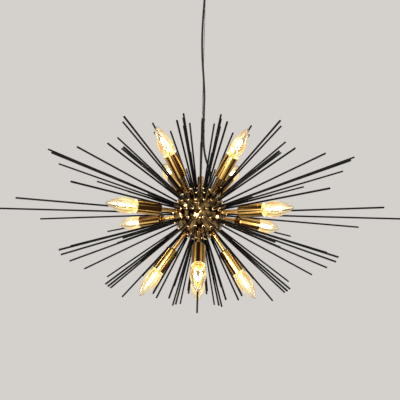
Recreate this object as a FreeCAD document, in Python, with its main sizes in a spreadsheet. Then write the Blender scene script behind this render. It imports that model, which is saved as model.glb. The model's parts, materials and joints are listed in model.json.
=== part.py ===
import FreeCAD, Part
import math
import os

import Sketcher

# A sea-urchin pendant light: a polished brass ball hung on a thin steel cable, with thin black
# rods standing out of it in rings and twelve candle lamps on brass arms among them.
# Millimetres, +Z up. The origin is the centre of the ceiling plane that the canopy closes on,
# and the viewer stands on the -Y side.

SIZES = {
    # ceiling fixing
    "CanopyDiameter": 120,
    "CanopyDepth": 30,
    "CanopyWall": 1.5,
    "CanopyBevel": 6,
    "CanopyScrewSpacing": 84,
    "CrossbarLength": 100,
    "CrossbarWidth": 22,
    "CrossbarThickness": 2.5,
    "CeilingScrewSpacing": 60,
    "CeilingScrewHole": 5,
    "StudDiameter": 4,
    "CapNutDiameter": 9,
    "CapNutLength": 8,
    "CapNutSkirt": 4.8,
    "CapNutCrownDiameter": 5.4,
    "GripperDiameter": 13,
    "GripperLength": 16,
    "GripperThread": 10,
    "GripperThreadLength": 10,
    "GripperNutDiameter": 16,
    "GripperNutThickness": 4,
    "GripperMouth": 8.8,
    "GripperBevel": 1,
    "PivotBelowCanopy": 6,
    "WasherThickness": 0.8,
    "WasherHole": 4,
    "CordBushOffset": 17,
    "CordBushDiameter": 14,
    "CordBushFlange": 3,
    "CordBushBevel": 1,
    "CordBushNeck": 11,
    "CordBushNeckLength": 8,
    "CordBushPlay": 1.8,
    "TerminalLength": 26,
    "TerminalWidth": 18,
    "TerminalHeight": 11,
    # suspension
    "HubDrop": 620,
    "CableDiameter": 2,
    "CableBallDiameter": 6,
    "CableStopDiameter": 7.2,
    "CableStopLength": 10,
    "RunningClearance": 0.08,
    "BodyClearance": 0.4,
    "CordDiameter": 5,
    "ClipWidth": 6,
    "ClipWall": 0.8,
    # ball hub
    "HubRadius": 60,
    "HubWall": 4,
    "SeamHeight": 10.4,
    "SeamLip": 3,
    "SeamGap": 0.1,
    "StemDiameter": 15,
    "StemSeat": 0.8,
    "StemLength": 29,
    "StemBevel": 2.5,
    "StemRoof": 15,
    "StemSpigotDiameter": 12,
    "StemSpigotLength": 11,
    "StemNutDiameter": 18,
    "StemNutThickness": 4,
    "TieRodDiameter": 8,
    "FinialDiameter": 12,
    "FinialLength": 9,
    "FinialSkirt": 5.4,
    "FinialTipDiameter": 8,
    "FinialThread": 4,
    "FinialSeat": 0.4,
    "GlandElevation": 73,
    "GlandDiameter": 9.6,
    "GlandSpigot": 7.6,
    "GlandSeat": 0.4,
    "GlandSkirt": 5,
    "GlandLength": 20,
    "GlandLeadIn": 12,
    "ConnectorLength": 30,
    "ConnectorWidth": 16,
    "ConnectorHeight": 13,
    "ConnectorRise": 18,
    # rods
    "RodDiameter": 4,
    "RodSink": 3,
    "CollarDiameter": 7,
    "CollarLength": 2.5,
    "CollarSeat": 0.5,
    "CollarBevel": 1,
    "EquatorReach": 480,
    "SlopeElevation": 20,
    "SlopeReach": 356,
    "ShoulderElevation": 40,
    "ShoulderReach": 278,
    "CrownElevation": 60,
    "CrownReach": 242,
    "PoleElevation": 77,
    "PoleReach": 235,
    # lamps, measured along an arm from the hub centre
    "ArmDiameter": 9,
    "ArmSeat": 0.4,
    "ArmFootDiameter": 11.6,
    "ArmFootLength": 2,
    "ArmSpigot": 8,
    "ArmBore": 5,
    "ArmNutDiameter": 13,
    "ArmNutThickness": 3.5,
    "CupStart": 102,
    "CupLength": 58,
    "CupDiameter": 30,
    "CupWall": 1.2,
    "CupBase": 3,
    "HolderDiameter": 27,
    "HolderLength": 44,
    "HolderFloor": 14,
    "SocketDepth": 24,
    "SocketPlay": 0.3,
    "BulbTip": 228,
    "BulbLength": 100,
    "BulbCapDiameter": 14,
    "BulbCapLength": 24,
    "BulbNeckDiameter": 17,
    "BulbRimDiameter": 24,
    "BulbDiameter": 35,
    "BulbWidest": 45,
    "BulbTaperDiameter": 23,
    "BulbTaper": 19,
    "BulbPointDiameter": 3,
    "GlassWall": 0.9,
    "ContactDiameter": 6,
    "ContactLength": 1.5,
    "TopLampElevation": 43.5,
    "MiddleLampElevation": -2,
    "BottomLampElevation": -56,
}

TOP_LAMP_AZIMUTHS = (-144, -36, 36, 144)
MIDDLE_LAMP_AZIMUTHS = (-120, -60, 60, 120)
BOTTOM_LAMP_AZIMUTHS = (-90, 0, 90, 180)
LAMP_BAY = 12.0  # degrees round a lamp in which its arm takes a rod's place

# Each ring of rods: the sub-part it belongs to, the alias of its elevation with a minus sign
# below the equator, and the alias of its reach.
RINGS = (
    ("rods_equator", "", "EquatorReach"),
    ("rods_upper_slope", "SlopeElevation", "SlopeReach"),
    ("rods_lower_slope", "-SlopeElevation", "SlopeReach"),
    ("rods_upper_shoulder", "ShoulderElevation", "ShoulderReach"),
    ("rods_lower_shoulder", "-ShoulderElevation", "ShoulderReach"),
    ("rods_crown", "CrownElevation", "CrownReach"),
    ("rods_crown", "PoleElevation", "PoleReach"),
    ("rods_base", "-CrownElevation", "CrownReach"),
    ("rods_base", "-PoleElevation", "PoleReach"),
)
RING_COUNTS = (24, 20, 20, 16, 16, 12, 6, 12, 6)  # places in each of those rings
RING_AZIMUTHS = (0, 9, 9, 11.25, 11.25, 15, 0, 0, 30)  # of each ring's first place, degrees
# The rods are cut to several lengths. These are their shares of the ring's reach over the
# quarter from the front to the side, which is mirrored into the other three.
RING_SHARES = (
    (1.0, 0.97, 1.0, 0.72, 0.9, 0.84, 1.0),
    (0.89, 0.96, 0.8, 0.88, 1.04),
    (0.96, 0.9, 1.0, 0.94, 0.9),
    (0.92, 1.0, 0.97, 0.92),
    (1.05, 0.92, 1.02, 0.95),
    (0.86, 0.82, 0.98),
    (0.9, 0.97),
    (0.9, 0.96, 0.9, 0.9),
    (0.78, 0.9),
)
BOTTOM_ROD_SHARE = 0.95

# The cord hangs out of the canopy beside the cable, bows round it, runs along it between two
# clips and leaves it for its gland in the ball. The points are X, Y and the height above the hub
# centre; the first and the last stretches, which lie on the bush and the gland, are worked out.
CORD_ROUTE = (
    (-1.2, -15.0, 548.0),
    (-4.2, -12.0, 494.0),
    (-5.4, -8.6, 438.0),
    (-3.4, -6.4, 384.0),
    (0.8, -5.2, 337.0),
    (4.3, -2.4, 290.0),
    (3.8, 0.0, 250.0),
    (3.8, 0.0, 178.0),
    (7.9, 0.5, 143.0),
    (15.0, 0.8, 118.0),
)
CLIPPED_RUN = (6, 7)  # the two points between which the cord lies along the cable
CLIP_INSET = 19.0  # of the clips from the ends of that run, clear of the arcs there
CORD_TOP_GAP = 3.5  # inside the bush, where the cord bends as the lamp swings
ARC_SHARE = 0.45  # how much of the shorter run each arc of the cord takes
LIMP_BEND = 3.0  # least bend radius of the cord, in diameters

doc = FreeCAD.newDocument("sputnik_chandelier")
sheet = doc.addObject("Spreadsheet::Sheet", "Sizes")
for row, (alias, value) in enumerate(SIZES.items(), start=1):
    sheet.set(f"A{row}", str(value))
    sheet.setAlias(f"A{row}", alias)
doc.recompute()


def size(alias):
    """The value of a cell of the sheet."""
    return float(getattr(sheet, alias))


X = FreeCAD.Vector(1, 0, 0)
Z = FreeCAD.Vector(0, 0, 1)
HUB = FreeCAD.Vector(0, 0, -size("HubDrop"))
HUB_HEIGHT = "-Sizes.HubDrop"


def direction(azimuth, elevation):
    """Unit vector; azimuth 0 faces the viewer and grows towards +X."""
    a, e = math.radians(azimuth), math.radians(elevation)
    return FreeCAD.Vector(math.cos(e) * math.sin(a), -math.cos(e) * math.cos(a), math.sin(e))


def along(way, distance=0.0):
    """Placement at that distance from the hub centre, its Z axis pointing out along way."""
    return FreeCAD.Placement(HUB + way * distance, FreeCAD.Rotation(Z, way))


def bind(obj, **formulas):
    """Bind properties of obj to formulas over the sheet; a double underscore stands for a dot."""
    for name, formula in formulas.items():
        obj.setExpression(name.replace("__", "."), formula)
    return obj


def turned_body(label, outline):
    """A body turned about its own Z axis: outline lists (radius, height) formulas in order."""
    body = doc.addObject("PartDesign::Body", label)
    body.Label = label
    sketch = body.newObject("Sketcher::SketchObject", label + "_outline")
    plane = next(f for f in body.Origin.OriginFeatures if f.Role == "XZ_Plane")
    sketch.AttachmentSupport = [(plane, "")]
    sketch.MapMode = "FlatFace"
    count = len(outline)
    turns = [2 * math.pi * i / count for i in range(count)]
    start = [FreeCAD.Vector(2 + math.cos(t), math.sin(t), 0) for t in turns]
    for i in range(count):
        sketch.addGeometry(Part.LineSegment(start[i], start[(i + 1) % count]), False)
    for i in range(count):
        sketch.addConstraint(Sketcher.Constraint("Coincident", i, 2, (i + 1) % count, 1))
    for i, (radius, height) in enumerate(outline):
        for kind, axis, formula in (("DistanceX", -2, radius), ("DistanceY", -1, height)):
            if formula == "0":
                sketch.addConstraint(Sketcher.Constraint("PointOnObject", i, 1, axis))
            else:
                number = sketch.addConstraint(Sketcher.Constraint(kind, -1, 1, i, 1, 1.0))
                sketch.setExpression(f"Constraints[{number}]", formula)
    turn = body.newObject("PartDesign::Revolution", label + "_turned")
    turn.Profile = sketch
    turn.ReferenceAxis = (sketch, ["V_Axis"])
    turn.Angle = 360
    return body


def cylinder(name, diameter, height, bottom, x="0", y="0"):
    """An upright cylinder from formulas."""
    return bind(doc.addObject("Part::Cylinder", name), Radius=f"({diameter}) / 2", Height=height,
                Placement__Base__x=x, Placement__Base__y=y, Placement__Base__z=bottom)


def block(name, length, width, height, bottom, x="0", y="0"):
    """An upright block, centred on (x, y), from formulas."""
    return bind(doc.addObject("Part::Box", name), Length=length, Width=width, Height=height,
                Placement__Base__x=f"{x} - ({length}) / 2", Placement__Base__y=f"{y} - ({width}) / 2",
                Placement__Base__z=bottom)


def compound(label, pieces):
    """One sub-part of several separate solids."""
    whole = doc.addObject("Part::Compound", label)
    whole.Links = pieces
    whole.Label = label
    return whole


def cut(label, base, tool):
    """The base less the tool, as one sub-part."""
    piece = doc.addObject("Part::Cut", label)
    piece.Base = base
    piece.Tool = tool
    piece.Label = label
    return piece


def common(name, base, tool):
    piece = doc.addObject("Part::Common", name)
    piece.Base = base
    piece.Tool = tool
    return piece


def feature(label, shape, place=None):
    """A sub-part whose shape is worked out from the sheet in code."""
    piece = doc.addObject("Part::Feature", label)
    piece.Label = label
    piece.Shape = shape
    if place is not None:
        piece.Placement = place
    return piece


def copies(master, ways):
    """The master's shape, set out along each way from the hub centre."""
    placed = []
    for way in ways:
        shape = master.Shape.copy()
        shape.Placement = along(way)
        placed.append(shape)
    return placed


# ---------------------------------------------------------------- ceiling fixing
SIDES = (-1, 1)
MITRE = math.tan(math.radians(22.5))  # share of the wall that a 45 degree bevel moves inside it


def crossbar():
    """Steel bar screwed to the ceiling, with its two long screws for the canopy."""
    bar = block("crossbar_bar", "Sizes.CrossbarLength", "Sizes.CrossbarWidth",
                "Sizes.CrossbarThickness", "-Sizes.CrossbarThickness")
    through = ("2 * Sizes.CrossbarThickness", "-1.5 * Sizes.CrossbarThickness")
    holes = [cylinder("crossbar_hole", "Sizes.CeilingScrewHole", *through,
                      x=f"{side} * Sizes.CeilingScrewSpacing / 2") for side in SIDES]
    holes += [cylinder("crossbar_hole", "Sizes.StudDiameter", *through,
                       x=f"{side} * Sizes.CanopyScrewSpacing / 2") for side in SIDES]
    cut("ceiling_crossbar", bar, compound("crossbar_holes", holes))
    compound("crossbar_studs", [
        cylinder("crossbar_stud", "Sizes.StudDiameter", "Sizes.CanopyDepth + Sizes.CapNutLength / 2",
                 "-Sizes.CanopyDepth - Sizes.CapNutLength / 2",
                 x=f"{side} * Sizes.CanopyScrewSpacing / 2") for side in SIDES])


def canopy():
    """A shallow brass cup, open towards the ceiling, and the domed nuts that hold it up."""
    outer, wall, depth = "Sizes.CanopyDiameter / 2", "Sizes.CanopyWall", "Sizes.CanopyDepth"
    bevel, inset = "Sizes.CanopyBevel", f"{MITRE} * Sizes.CanopyWall"
    shell = turned_body("canopy_shell", [
        (f"{outer} - {wall}", "0"),
        (outer, "0"),
        (outer, f"{bevel} - {depth}"),
        (f"{outer} - {bevel}", f"-{depth}"),
        ("Sizes.GripperThread / 2", f"-{depth}"),
        ("Sizes.GripperThread / 2", f"{wall} - {depth}"),
        (f"{outer} - {bevel} - {inset}", f"{wall} - {depth}"),
        (f"{outer} - {wall}", f"{bevel} + {inset} - {depth}"),
    ])
    through = (f"2 * {wall}", f"-{depth} - {wall} / 2")
    holes = [cylinder("canopy_hole", "Sizes.StudDiameter", *through,
                      x=f"{side} * Sizes.CanopyScrewSpacing / 2") for side in SIDES]
    holes.append(cylinder("canopy_hole", "Sizes.CordBushNeck", *through, y="-Sizes.CordBushOffset"))
    cut("canopy", shell, compound("canopy_holes", holes))

    master = turned_body("cap_nut_turned", [
        ("Sizes.StudDiameter / 2", "0"),
        ("Sizes.CapNutDiameter / 2", "0"),
        ("Sizes.CapNutDiameter / 2", "Sizes.CapNutSkirt"),
        ("Sizes.CapNutCrownDiameter / 2", "Sizes.CapNutLength"),
        ("0", "Sizes.CapNutLength"),
        ("0", "Sizes.CapNutLength / 2"),
        ("Sizes.StudDiameter / 2", "Sizes.CapNutLength / 2"),
    ])
    doc.recompute()
    nuts = []
    for side in SIDES:
        nut = master.Shape.copy()
        foot = FreeCAD.Vector(side * size("CanopyScrewSpacing") / 2, 0, -size("CanopyDepth"))
        nut.Placement = FreeCAD.Placement(foot, FreeCAD.Rotation(X, 180))
        nuts.append(nut)
    feature("canopy_cap_nuts", Part.makeCompound(nuts))


BALL = "(Sizes.CableBallDiameter / 2)"
PIVOT = "(-Sizes.CanopyDepth - Sizes.PivotBelowCanopy)"
GRIPPER_BORE = f"{BALL} + 2 * Sizes.BodyClearance"
WASHER_HOLE = "Sizes.WasherHole / 2"
CORD_TOP = "-Sizes.CanopyDepth"
WASHER_TOP = f"{PIVOT} - sqrt({BALL} ^ 2 - ({WASHER_HOLE}) ^ 2) - Sizes.RunningClearance"


def cable_gripper():
    """The socket under the canopy in which the ball on the cable's end turns."""
    seat = f"{PIVOT} - {BALL} - Sizes.WasherThickness"
    foot = "-Sizes.CanopyDepth - Sizes.GripperLength"
    turned_body("cable_gripper", [
        (GRIPPER_BORE, "-Sizes.CanopyDepth + Sizes.GripperThreadLength"),
        ("Sizes.GripperThread / 2", "-Sizes.CanopyDepth + Sizes.GripperThreadLength"),
        ("Sizes.GripperThread / 2", "-Sizes.CanopyDepth"),
        ("Sizes.GripperDiameter / 2", "-Sizes.CanopyDepth"),
        ("Sizes.GripperDiameter / 2", f"{foot} + 2 * Sizes.GripperBevel"),
        ("Sizes.GripperDiameter / 2 - Sizes.GripperBevel", foot),
        ("Sizes.GripperMouth / 2", foot),
        (f"{BALL} - Sizes.BodyClearance", seat),
        (GRIPPER_BORE, seat),
    ])
    top = "-Sizes.CanopyDepth + Sizes.CanopyWall"
    turned_body("gripper_nut", [
        ("Sizes.GripperThread / 2", top),
        ("Sizes.GripperNutDiameter / 2", top),
        ("Sizes.GripperNutDiameter / 2", f"{top} + Sizes.GripperNutThickness"),
        ("Sizes.GripperThread / 2", f"{top} + Sizes.GripperNutThickness"),
    ])


def swivel_washer():
    """The loose washer that the cable's ball bears on."""
    turned_body("swivel_washer", [
        (WASHER_HOLE, f"{WASHER_TOP} - Sizes.WasherThickness"),
        (BALL, f"{WASHER_TOP} - Sizes.WasherThickness"),
        (BALL, WASHER_TOP),
        (WASHER_HOLE, WASHER_TOP),
    ])


def cord_fixing():
    """The bush that the cord hangs out of, the terminal block and the cord's tail up to it."""
    bore = "Sizes.CordDiameter / 2 + Sizes.CordBushPlay"
    foot = "-Sizes.CanopyDepth - Sizes.CordBushFlange"
    bush = turned_body("cord_bush", [
        (bore, foot),
        ("Sizes.CordBushDiameter / 2 - Sizes.CordBushBevel", foot),
        ("Sizes.CordBushDiameter / 2", f"{foot} + Sizes.CordBushBevel"),
        ("Sizes.CordBushDiameter / 2", "-Sizes.CanopyDepth"),
        ("Sizes.CordBushNeck / 2", "-Sizes.CanopyDepth"),
        ("Sizes.CordBushNeck / 2", "-Sizes.CanopyDepth + Sizes.CordBushNeckLength"),
        (bore, "-Sizes.CanopyDepth + Sizes.CordBushNeckLength"),
    ])
    bind(bush, Placement__Base__y="-Sizes.CordBushOffset")
    block("terminal_block", "Sizes.TerminalLength", "Sizes.TerminalWidth", "Sizes.TerminalHeight",
          "-Sizes.CrossbarThickness - Sizes.TerminalHeight", y="-Sizes.CordBushOffset")
    tail_foot = f"{CORD_TOP} + {CORD_TOP_GAP}"
    cylinder("cord_tail", "Sizes.CordDiameter",
             f"-Sizes.CrossbarThickness - Sizes.TerminalHeight - ({tail_foot})", tail_foot,
             y="-Sizes.CordBushOffset")


# ---------------------------------------------------------------- suspension
STEM_TOP = "Sizes.HubRadius - Sizes.StemSeat + Sizes.StemLength"


def steel_cable():
    """The taut cable, the ball that carries it and the stop that carries the lamp."""
    stop_top = f"{HUB_HEIGHT} + {STEM_TOP} - Sizes.StemRoof - Sizes.RunningClearance"
    stop_foot = f"{stop_top} - Sizes.CableStopLength"
    top = f"{PIVOT} + {BALL}"
    cylinder("steel_cable", "Sizes.CableDiameter", f"{top} - ({stop_foot})", stop_foot)
    ball = bind(doc.addObject("Part::Sphere", "cable_ball_blank"), Radius=BALL,
                Placement__Base__z=PIVOT)
    cut("cable_ball", ball, cylinder("cable_ball_bore", "Sizes.CableDiameter",
                                     "2 * Sizes.CableBallDiameter", f"{PIVOT} - Sizes.CableBallDiameter"))
    stop = turned_body("cable_stop", [
        ("Sizes.CableDiameter / 2", "0"),
        ("Sizes.CableStopDiameter / 2", "0"),
        ("Sizes.CableStopDiameter / 2", "Sizes.CableStopLength"),
        ("Sizes.CableDiameter / 2", "Sizes.CableStopLength"),
    ])
    bind(stop, Placement__Base__z=stop_foot)


def cord_points():
    """Every point of the cord's route, from inside the canopy's bush to inside the ball."""
    gland = direction(90, size("GlandElevation"))
    reach = size("HubRadius") + size("GlandLength")
    top = FreeCAD.Vector(0, -size("CordBushOffset"), -size("CanopyDepth"))
    chosen = [HUB + FreeCAD.Vector(*point) for point in CORD_ROUTE]
    lead_in = HUB + gland * (reach + size("GlandLeadIn"))
    end = HUB + gland * (size("HubRadius") - 2 * size("HubWall"))
    return [top] + chosen + [lead_in, end]


def rounded_path(points):
    """A wire of straight runs joined by tangent arcs, with the arcs' radii."""
    edges, radii, start = [], [], points[0]
    for before, corner, after in zip(points, points[1:], points[2:]):
        back, ahead = before - corner, after - corner
        half_turn = (math.pi - back.getAngle(ahead)) / 2
        tangent = ARC_SHARE * min(back.Length, ahead.Length)
        radius = tangent / math.tan(half_turn)
        back.normalize()
        ahead.normalize()
        first, last = corner + back * tangent, corner + ahead * tangent
        inward = back + ahead
        inward.normalize()
        middle = corner + inward * (radius / math.cos(half_turn) - radius)
        edges.append(Part.LineSegment(start, first).toShape())
        edges.append(Part.Arc(first, middle, last).toShape())
        radii.append(radius)
        start = last
    edges.append(Part.LineSegment(start, points[-1]).toShape())
    return Part.Wire(edges), radii


def power_cord():
    points = cord_points()
    path, radii = rounded_path(points)
    radius = size("CordDiameter") / 2
    section = Part.Wire(Part.makeCircle(radius, points[0], points[1] - points[0]))
    tube = path.makePipeShell([section], True, True)
    feature("power_cord", tube)
    expected = math.pi * radius**2 * path.Length
    print("cord: length", round(path.Length, 1), "volume", round(tube.Volume), "expected", round(expected))
    print("cord: bend radii", [round(r) for r in radii], "runs",
          [round((b - a).Length) for a, b in zip(points, points[1:])])
    if min(radii) < LIMP_BEND * 2 * radius:
        raise ValueError("the cord bends too tightly")


def strap(distance, first, second):
    """Wire round two circles whose centres are that far apart along X."""
    lean = math.acos((first - second) / distance)
    normal = FreeCAD.Vector(math.cos(lean), math.sin(lean), 0)
    mirror = FreeCAD.Vector(normal.x, -normal.y, 0)
    centre = FreeCAD.Vector(distance, 0, 0)
    far_left, far_right = X * -first, centre + X * second
    return Part.Wire([
        Part.Arc(mirror * first, far_left, normal * first).toShape(),
        Part.LineSegment(normal * first, centre + normal * second).toShape(),
        Part.Arc(centre + normal * second, far_right, centre + mirror * second).toShape(),
        Part.LineSegment(centre + mirror * second, mirror * first).toShape(),
    ])


def cord_clips():
    """Two black clips that hold the cord to the cable."""
    upper, lower = (CORD_ROUTE[i] for i in CLIPPED_RUN)
    cable, cord, wall = size("CableDiameter") / 2, size("CordDiameter") / 2, size("ClipWall")
    outer = Part.Face(strap(upper[0], cable + wall, cord + wall))
    ring = outer.cut(Part.Face(strap(upper[0], cable, cord))).extrude(Z * size("ClipWidth"))
    clips = []
    for height in (upper[2] - CLIP_INSET - size("ClipWidth"), lower[2] + CLIP_INSET):
        clip = ring.copy()
        clip.translate(HUB + Z * height)
        clips.append(clip)
    feature("cord_clips", Part.makeCompound(clips))


# ---------------------------------------------------------------- directions of rods and lamps
def lamp_ways():
    rows = (
        (size("TopLampElevation"), TOP_LAMP_AZIMUTHS),
        (size("MiddleLampElevation"), MIDDLE_LAMP_AZIMUTHS),
        (size("BottomLampElevation"), BOTTOM_LAMP_AZIMUTHS),
    )
    return [direction(azimuth, elevation) for elevation, azimuths in rows for azimuth in azimuths]


def ring_rods(lamps):
    """(sub-part, way, reach alias, share) of each rod that no lamp arm takes the place of."""
    rods = []
    for ring, count, first, shares in zip(RINGS, RING_COUNTS, RING_AZIMUTHS, RING_SHARES):
        label, tilt, reach = ring
        elevation = size(tilt.lstrip("-")) if tilt else 0.0
        if tilt.startswith("-"):
            elevation = -elevation
        step = 360.0 / count
        for place in range(count):
            azimuth = first + place * step
            way = direction(azimuth, elevation)
            if min(math.degrees(way.getAngle(lamp)) for lamp in lamps) < LAMP_BAY:
                continue
            folded = math.degrees(math.asin(abs(math.sin(math.radians(azimuth)))))
            rods.append((label, way, reach, shares[round((folded - first) / step)]))
    return rods


# ---------------------------------------------------------------- ball hub
def hub_holes(name, rods, lamps):
    """Every hole through one half of the ball: a bore and a flat seat for what stands on it."""
    inner = size("HubRadius") - 2 * size("HubWall")
    outside = size("HubRadius") + size("HubWall")

    def stepped(bore, seat_diameter, seat):
        hole = Part.makeCylinder(bore / 2, outside - inner, Z * inner)
        return hole.fuse(Part.makeCylinder(seat_diameter / 2, outside - seat, Z * seat)).removeSplitter()

    radius = size("HubRadius")
    rod_hole = stepped(size("RodDiameter"), size("CollarDiameter"), radius - size("CollarSeat"))
    arm_hole = stepped(size("ArmSpigot"), size("ArmFootDiameter"), radius - size("ArmSeat"))
    gland_hole = stepped(size("GlandSpigot"), size("GlandDiameter"), radius - size("GlandSeat"))
    stem_hole = stepped(size("StemSpigotDiameter"), size("StemDiameter"), radius - size("StemSeat"))
    foot_hole = stepped(size("TieRodDiameter"), size("FinialDiameter"), radius - size("FinialSeat"))
    upper = name == "hub_cap"
    fittings = [(stem_hole, Z), (gland_hole, direction(90, size("GlandElevation")))]
    holes = [(rod_hole, way) for way in rods] + [(arm_hole, way) for way in lamps]
    holes += fittings if upper else [(foot_hole, -Z)]
    seam = size("SeamHeight") / size("HubRadius")
    drilled = []
    for hole, way in holes:
        if (way.z > seam) == upper:
            shape = hole.copy()
            shape.Placement = along(way)
            drilled.append(shape)
    return feature(name + "_holes", Part.makeCompound(drilled))


def hub_sphere(name, radius):
    return bind(doc.addObject("Part::Sphere", name), Radius=radius, Placement__Base__z=HUB_HEIGHT)


def slab(name, low, high):
    """A disc wider than the ball between two heights over the hub centre."""
    return cylinder(name, "4 * Sizes.HubRadius", f"{high} - ({low})", f"{HUB_HEIGHT} + {low}")


def ball_halves(rods, lamps):
    """A bowl and a cap, which laps over the bowl's inner lip at the seam."""
    outer, inner = "Sizes.HubRadius", "Sizes.HubRadius - Sizes.HubWall"
    middle = "Sizes.HubRadius - Sizes.HubWall / 2"
    seam, lip = "Sizes.SeamHeight", "Sizes.SeamHeight + Sizes.SeamLip"
    shell = cut("ball_shell", hub_sphere("ball_outside", outer), hub_sphere("ball_inside", inner))
    lip_shell = cut("ball_lip_shell", hub_sphere("ball_lip_outside", middle),
                    hub_sphere("ball_lip_inside", inner))
    below = slab("ball_below_seam", "-2 * Sizes.HubRadius", seam)
    above = slab("ball_above_seam", seam, "2 * Sizes.HubRadius")
    lip_band = slab("ball_lip_band", seam, lip)
    bowl = doc.addObject("Part::Fuse", "ball_bowl_blank")
    bowl.Base = common("ball_bowl_wall", shell, below)
    bowl.Tool = common("ball_bowl_lip", lip_shell, lip_band)
    cut("hub_bowl", bowl, hub_holes("hub_bowl", rods, lamps))

    recess = common("ball_cap_recess", hub_sphere("ball_recess", f"{middle} + Sizes.SeamGap"),
                    slab("ball_recess_band", "0", f"{lip} + Sizes.SeamGap"))
    lapped = cut("ball_cap_lapped", common("ball_cap_wall", shell, above), recess)
    cut("hub_cap", lapped, hub_holes("hub_cap", rods, lamps))


def hub_fittings():
    """What holds the ball together and to the cable, on its own upright axis."""
    seat = "Sizes.HubRadius - Sizes.StemSeat"
    foot = f"{seat} - Sizes.StemSpigotLength"
    bore = "Sizes.TieRodDiameter / 2"
    cable_bore = "Sizes.CableDiameter / 2 + Sizes.RunningClearance"
    stem = turned_body("top_stem", [
        (bore, foot),
        ("Sizes.StemSpigotDiameter / 2", foot),
        ("Sizes.StemSpigotDiameter / 2", seat),
        ("Sizes.StemDiameter / 2", seat),
        ("Sizes.StemDiameter / 2", f"{STEM_TOP} - Sizes.StemBevel"),
        ("Sizes.StemDiameter / 2 - Sizes.StemBevel", STEM_TOP),
        (cable_bore, STEM_TOP),
        (cable_bore, f"{STEM_TOP} - Sizes.StemRoof"),
        (bore, f"{STEM_TOP} - Sizes.StemRoof"),
    ])
    nut_top = "sqrt((Sizes.HubRadius - Sizes.HubWall) ^ 2 - Sizes.StemNutDiameter ^ 2 / 4)"
    nut = turned_body("stem_nut", [
        ("Sizes.StemSpigotDiameter / 2", f"{nut_top} - Sizes.StemNutThickness"),
        ("Sizes.StemNutDiameter / 2", f"{nut_top} - Sizes.StemNutThickness"),
        ("Sizes.StemNutDiameter / 2", nut_top),
        ("Sizes.StemSpigotDiameter / 2", nut_top),
    ])
    finial_seat = "Sizes.HubRadius - Sizes.FinialSeat"
    finial = turned_body("finial_nut", [
        (bore, f"-({finial_seat})"),
        (bore, f"-({finial_seat}) - Sizes.FinialThread"),
        ("Sizes.RodDiameter / 2", f"-({finial_seat}) - Sizes.FinialThread"),
        ("Sizes.RodDiameter / 2", f"-({finial_seat}) - Sizes.FinialLength"),
        ("Sizes.FinialTipDiameter / 2", f"-({finial_seat}) - Sizes.FinialLength"),
        ("Sizes.FinialDiameter / 2", f"-({finial_seat}) - Sizes.FinialSkirt"),
        ("Sizes.FinialDiameter / 2", f"-({finial_seat})"),
    ])
    for piece in (stem, nut, finial):
        bind(piece, Placement__Base__z=HUB_HEIGHT)
    rod_foot = f"{HUB_HEIGHT} - ({finial_seat}) - Sizes.FinialThread"
    rod_top = f"{HUB_HEIGHT} + {foot} + Sizes.StemSpigotLength"
    cylinder("tie_rod", "Sizes.TieRodDiameter", f"{rod_top} - ({rod_foot})", rod_foot)

    gland = turned_body("cord_gland", [
        ("Sizes.CordDiameter / 2", "Sizes.HubRadius - Sizes.HubWall"),
        ("Sizes.GlandSpigot / 2", "Sizes.HubRadius - Sizes.HubWall"),
        ("Sizes.GlandSpigot / 2", "Sizes.HubRadius - Sizes.GlandSeat"),
        ("Sizes.GlandDiameter / 2", "Sizes.HubRadius - Sizes.GlandSeat"),
        ("Sizes.GlandDiameter / 2", "Sizes.HubRadius + Sizes.GlandSkirt"),
        ("Sizes.CordDiameter / 2 + Sizes.BodyClearance", "Sizes.HubRadius + Sizes.GlandLength"),
        ("Sizes.CordDiameter / 2", "Sizes.HubRadius + Sizes.GlandLength"),
    ])
    gland.Placement = along(direction(90, size("GlandElevation")))
    block("lead_connector", "Sizes.ConnectorLength", "Sizes.ConnectorWidth", "Sizes.ConnectorHeight",
          f"{HUB_HEIGHT} + Sizes.ConnectorRise",
          x="Sizes.TieRodDiameter / 2 + Sizes.ConnectorLength / 2")


# ---------------------------------------------------------------- rods
def rods_and_collars(rods):
    """Black rods sunk into the ball, each in a small brass collar."""
    groups = {}
    for number, (label, way, reach, share) in enumerate(rods):
        rod = bind(doc.addObject("Part::Cylinder", f"rod_{number}"), Radius="Sizes.RodDiameter / 2",
                   Height=f"Sizes.{reach} * {share} - Sizes.HubRadius + Sizes.RodSink")
        rod.Placement = along(way, size("HubRadius") - size("RodSink"))
        groups.setdefault(label, []).append(rod)
    start = "(Sizes.HubRadius - Sizes.FinialSeat + Sizes.FinialThread)"
    bottom = bind(doc.addObject("Part::Cylinder", "rod_bottom"), Radius="Sizes.RodDiameter / 2",
                  Height=f"Sizes.PoleReach * {BOTTOM_ROD_SHARE} - {start}")
    bottom.Placement = along(-Z, size("HubRadius") - size("FinialSeat") + size("FinialThread"))
    groups["rods_base"].append(bottom)
    for label, pieces in groups.items():
        compound(label, pieces)

    foot = "Sizes.HubRadius - Sizes.CollarSeat"
    top = f"{foot} + Sizes.CollarLength"
    master = turned_body("collar_turned", [
        ("Sizes.RodDiameter / 2", foot),
        ("Sizes.CollarDiameter / 2", foot),
        ("Sizes.CollarDiameter / 2", f"{top} - Sizes.CollarBevel"),
        ("Sizes.CollarDiameter / 2 - Sizes.CollarBevel", top),
        ("Sizes.RodDiameter / 2", top),
    ])
    doc.recompute()
    seam = size("SeamHeight") / size("HubRadius")
    ways = [way for _, way, _, _ in rods]
    feature("collars_upper", Part.makeCompound(copies(master, [w for w in ways if w.z > seam])))
    feature("collars_lower", Part.makeCompound(copies(master, [w for w in ways if w.z <= seam])))


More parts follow.
